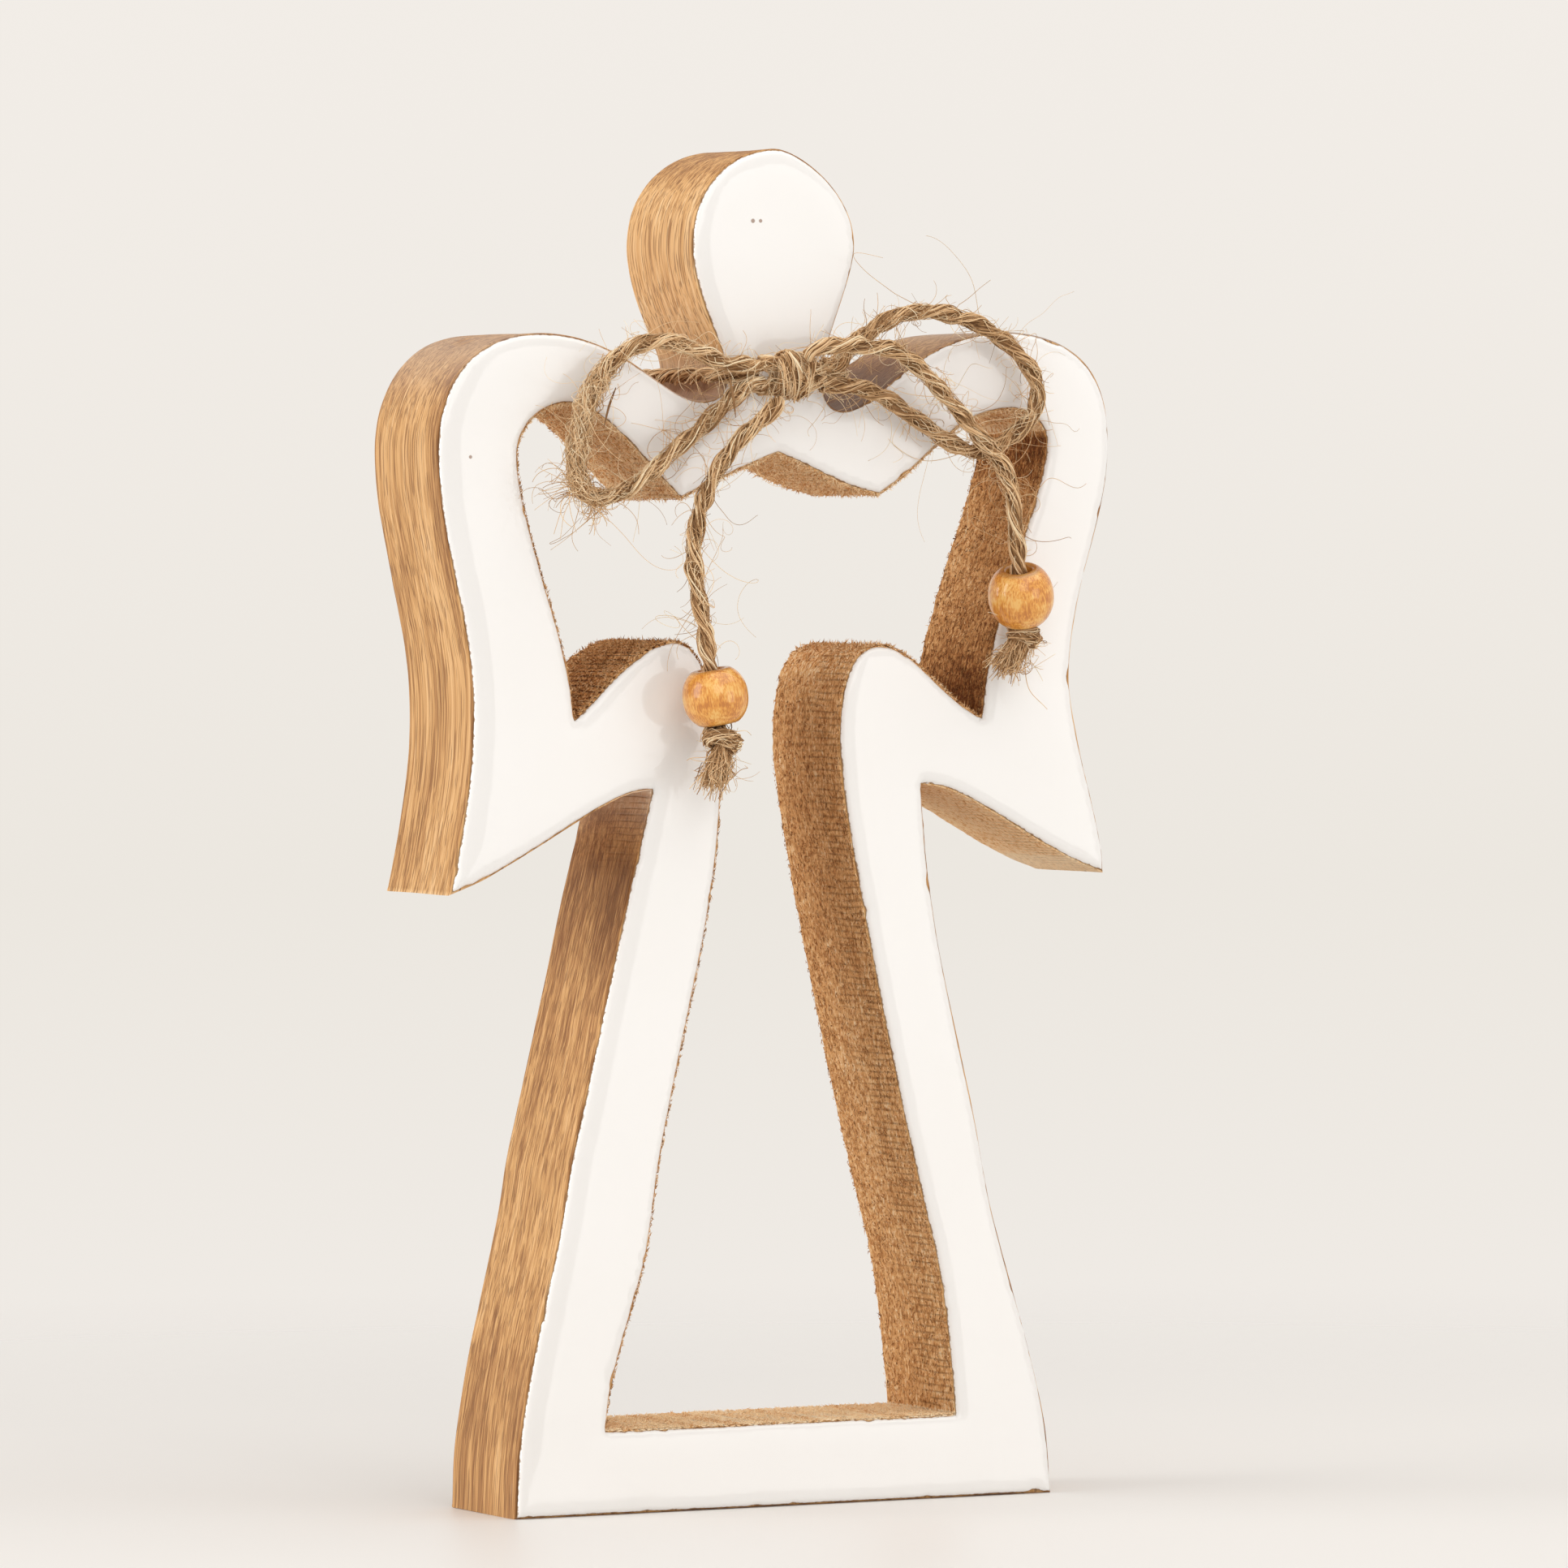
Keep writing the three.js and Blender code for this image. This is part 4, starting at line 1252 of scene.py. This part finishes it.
def bare_wood():
    """The board's finish, which follows the five values at its points."""
    f = Finish(bpy.data.materials.new("bare_wood"))
    at = f.coords()
    depth = f.part(at, "Y")
    sawn, dull, along, pale, lined = [f.mark(name) for name in MARKS]
    sanded = 1 - sawn
    broad = f.grain(at, (95, 95, 9), 3)
    bands = f.grain(at, (210, 560, 10), 3, 0.6)
    fine = f.grain(at, (760, 2300, 22), 3, 0.65)
    pores = f.step(f.grain(at, (1300, 2700, 90), 1), 0.56, 0.64)
    veins = f.step(f.grain(at, (330, 1300, 14), 2), 0.55, 0.66)
    blotch = f.grain(at, (260, 260, 200), 3)
    speck = f.grain(at, (1500, 1500, 900), 3, 0.75)
    cross = f.step(f.size(f.part(f.add("ShaderNodeNewGeometry", out="Normal"), "Z")), 0.30, 0.65)
    lines, crest_highlights = saw_lines_and_shading(f, along, depth, lined, blotch)
    tone = broad * 0.70 + bands * 0.70 + fine * 1.30 + pale * 0.8 - 1.23
    rough_tone = broad * 0.35 + fine * 0.45 + blotch * 0.45 + speck * 1.95
    rough_tone = rough_tone + (speck - 0.5) * cross * 1.7 + pale * 0.8 - 1.54
    colour = f.tint(sawn, f.ramp(tone, SANDED), f.ramp(rough_tone, SAWN))
    warm = cross * f.step(sawn, 0.55, 0.75) * f.step(pale, 1.45, 1.35)
    colour = f.tint(warm, colour, WARMED, "MULTIPLY")
    # Partly painted shadow: the dark lines also stand for the shade under each of the saw's ridges.
    colour = f.tint(lines * sawn * 0.68, colour, SAW_MARK_AND_SHADOW)
    # Partly painted highlight: the ridge tops between the plainest lines are lightened as if lit.
    colour = f.tint(crest_highlights * sawn * 0.62, colour, SAW_CREST_HIGHLIGHT)
    colour = f.tint(veins * sanded * 0.30, colour, VEIN)
    colour = f.tint(pores * sanded * 0.62, colour, PORE)
    colour = f.tint(dull * f.step(broad, 0.20, 0.45) * 0.85, colour, f.ramp(pale, GREYED))
    at_coat = 1 - f.step(depth, -0.0110, -0.0094)
    smears = f.step(f.grain(at, (260, 260, 40), 1), 0.72, 0.76) * at_coat * sanded
    colour = f.tint(smears * 0.85, colour, COAT_SMEAR)
    height = fine * 0.35 - pores * 0.5 + (speck * 1.3 - lines * 0.9) * sawn
    return f.surface({
        "Base Color": colour, "Roughness": 0.58 + sawn * 0.30, "Specular IOR Level": 0.20,
        "Normal": f.bump(height, 0.00022, 0.8),
    })


def torn_wood():
    """The torn fibres' finish, which takes its colour from each fibre's tone."""
    f = Finish(bpy.data.materials.new("torn_wood"))
    colour = f.ramp(f.mark("fibre_tone"), TORN)
    return f.surface({"Base Color": colour, "Roughness": 0.85, "Specular IOR Level": 0.2})


wood.data.materials.append(bare_wood())
torn.data.materials.append(torn_wood())
print("wood finishes:", wood.data.materials[0].name, torn.data.materials[0].name)

# %% [markdown]
# ## Enamel
# The coat is a warm white gloss with a little orange peel. At its very edge it is worn through to the wood,
# and here and there a speck of dirt or a pinhole shows.

# %% Enamel finish
WHITE = ((0.3, (0.885, 0.862, 0.835)), (0.7, (0.905, 0.885, 0.862)))
WORN_EDGE = (0.300, 0.165, 0.070)
DIRT = (0.280, 0.180, 0.100)
PINHOLE = (0.250, 0.110, 0.045)
# The x, z and radius of each pinhole, in millimetres.
PINHOLES = ((-4.4, 198.3, 0.42), (-3.1, 198.3, 0.36), (-52.3, 162.3, 0.34))


def enamel():
    """White gloss that is worn at its edge and has a few specks and pinholes."""
    f = Finish(bpy.data.materials.new("enamel"))
    at = f.coords()
    ragged = f.grain(at, (1100, 1100, 1100), 3, 0.65)
    worn = 1 - f.step(f.mark("from_edge") + (ragged - 0.5) * 0.5, 0.0, 0.10)
    cells = f.add("ShaderNodeTexVoronoi", {"feature": "F1"}, {"Vector": at, "Scale": 95.0}, out="Distance")
    rare = f.step(f.grain(at, (60, 60, 60), 1), 0.60, 0.62)
    specks = (1 - f.step(cells, 0.016, 0.030)) * rare
    cloud = f.grain(at, (28, 28, 28), 2)
    colour = f.tint(worn * 0.9, f.ramp(cloud, WHITE), WORN_EDGE)
    colour = f.tint(specks * 0.75, colour, DIRT)
    for x, z, wide in PINHOLES:
        middle = (x * MM, FACE, z * MM)
        away = f.add("ShaderNodeVectorMath", {"operation": "DISTANCE"}, [at, middle], out="Value")
        colour = f.tint((1 - f.step(away, wide * 0.6 * MM, wide * MM)) * 0.8, colour, PINHOLE)
    peel = f.bump(f.grain(at, (190, 190, 190), 2), 0.00012, 0.22)
    return f.surface({"Base Color": colour, "Roughness": 0.05 + worn * 0.6, "Normal": peel})


coat.data.materials.append(enamel())
print("enamel:", coat.data.materials[0].name)

# %% [markdown]
# ## Varnished beads
# The beads are a close orange wood under clear varnish. The grain follows the bore, with fine short flecks,
# and each bead is darker round its holes.

# %% Bead finish
BEAD_WOOD = (
    (0.15, (0.560, 0.185, 0.018)), (0.42, (0.720, 0.285, 0.036)),
    (0.62, (0.805, 0.358, 0.055)), (0.88, (0.885, 0.500, 0.132)),
)
DARK_ROUND_HOLES = (0.230, 0.085, 0.020)


def varnished():
    """Orange wood under a clear coat, with grain that follows the bore."""
    f = Finish(bpy.data.materials.new("varnished_bead"))
    at = f.add("ShaderNodeAttribute", {"attribute_name": "bead_grain"}, out="Vector")
    bands = f.grain(at, (0.75, 0.75, 0.62), 3, 0.6)
    flecks = f.grain(at, (4.0, 4.0, 4.0), 2, 0.6)
    stain = f.grain(at, (0.28, 0.28, 2.4), 2)
    tone = bands * 1.00 + flecks * 2.10 + stain * 1.60 - 1.84
    at_hole = f.step(f.size(f.part(at, "Z")), 0.90, 1.0)
    # Each bead is darker towards its ends, round the holes.
    colour = f.tint(at_hole * 0.55, f.ramp(tone, BEAD_WOOD), DARK_ROUND_HOLES)
    return f.surface({
        "Base Color": colour, "Roughness": 0.45, "Normal": f.bump(flecks, 0.00008, 0.4),
        "Coat Weight": 0.75, "Coat Roughness": 0.07,
    })


bead_finish = varnished()
for piece in beads.values():
    piece.data.materials.append(bead_finish)
print("beads finished:", bead_finish.name)

# %% [markdown]
# ## Floor, light and background
# The figure stands on a plain pale floor that fades into the background a little way off. A softbox stands
# where the glossy front mirrors it to the camera, so that each bead shows its own reflection. A wider one
# near the camera lights the front, one on the left the bare edges and one above the floor. The sky gives the
# rest, and it is brighter below the horizon, as if the floor went on. The camera and mirrored rays see the
# background as a plain pale colour, and mirrored rays look through the floor.

# %% Floor
FLOOR_HALF = 1.6
FLOOR_COLOUR = (0.845, 0.82, 0.79)
FADE_FROM = 0.16
FADE_TO = 0.48


def pale_floor():
    """A square of floor that clears away from the figure, and everywhere for mirrored rays."""
    corners = [(x * FLOOR_HALF, y * FLOOR_HALF, 0) for x, y in ((-1, -1), (1, -1), (1, 1), (-1, 1))]
    piece = made_piece("floor", corners, [(0, 1, 2, 3)], smooth=False)
    f = Finish(bpy.data.materials.new("pale_floor"))
    far = f.add("ShaderNodeVectorMath", {"operation": "LENGTH"}, [f.coords()], out="Value")
    shader = f.add("ShaderNodeBsdfPrincipled", None, {"Base Color": FLOOR_COLOUR, "Roughness": 0.45})
    clear = f.add("ShaderNodeBsdfTransparent")
    mirrored = f.ray("Is Glossy Ray")
    gone = mirrored.maths("MAXIMUM", f.step(far, FADE_FROM, FADE_TO), mirrored)
    mixed = f.add("ShaderNodeMixShader", None, [gone, shader, clear])
    f.add("ShaderNodeOutputMaterial", None, {"Surface": mixed})
    piece.data.materials.append(f.owner)
    return piece


floor = pale_floor()
print("floor:", floor.data.materials[0].name)

# %% Lamps
LAMP_COLOUR = (1.0, 0.985, 0.965)
# Each softbox has its place, the point that it faces, its width and height in metres and its watts.
LAMPS = {
    "mirrored_softbox": ((0.655, -1.09, 0.14), (0, 0, 0.12), 0.64, 0.58, 2.0),
    "front_softbox": ((-0.30, -1.40, 0.75), (0, 0, 0.14), 0.9, 0.9, 4.2),
    "left_softbox": ((-1.47, 0.32, 0.5), (0, 0, 0.11), 1.2, 1.2, 15.3),
    "top_softbox": ((0.22, -0.30, 1.02), (0, 0, 0.05), 1.1, 1.1, 5.3),
}
for name, (place, aim, wide, high, watts) in LAMPS.items():
    light = bpy.data.lights.new(name, "AREA")
    light.shape = "RECTANGLE"
    light.size = wide
    light.size_y = high
    light.energy = watts
    light.color = LAMP_COLOUR
    lamp = bpy.data.objects.new(name, light)
    facing = (Vector(aim) - Vector(place)).to_track_quat("-Z", "Y")
    lamp.matrix_world = Matrix.Translation(place) @ facing.to_matrix().to_4x4()
    scene.collection.objects.link(lamp)
print("lamps:", list(LAMPS))

# %% Background
SKY = ((0.0, (0.800, 0.784, 0.760)), (1.0, (0.460, 0.453, 0.444)))
BACKDROP = ((0.0, (0.880, 0.840, 0.800)), (0.45, (0.838, 0.800, 0.744)), (1.0, (0.888, 0.847, 0.800)))


def background():
    """Soft light from all round, and a plain backdrop for the rays that see it."""
    f = Finish(bpy.data.worlds.new("background"))
    seen = f.ray("Is Camera Ray")
    for kind in ("Is Glossy Ray", "Is Transmission Ray"):
        seen = seen.maths("MAXIMUM", seen, f.ray(kind))
    up = f.part(f.add("ShaderNodeTexCoord", out="Generated"), "Z")
    glow = f.ramp(f.step(up, -0.15, 0.05), SKY)
    shade = f.ramp(f.step(up, -0.12, 0.06), BACKDROP)
    sky = f.add("ShaderNodeBackground", None, {"Color": glow, "Strength": 1.0})
    backdrop = f.add("ShaderNodeBackground", None, {"Color": shade, "Strength": 1.0})
    mixed = f.add("ShaderNodeMixShader", None, [seen, sky, backdrop])
    f.add("ShaderNodeOutputWorld", None, {"Surface": mixed})
    return f.owner


scene.world = background()
print("background:", scene.world.name)

bpy.context.view_layer.update()
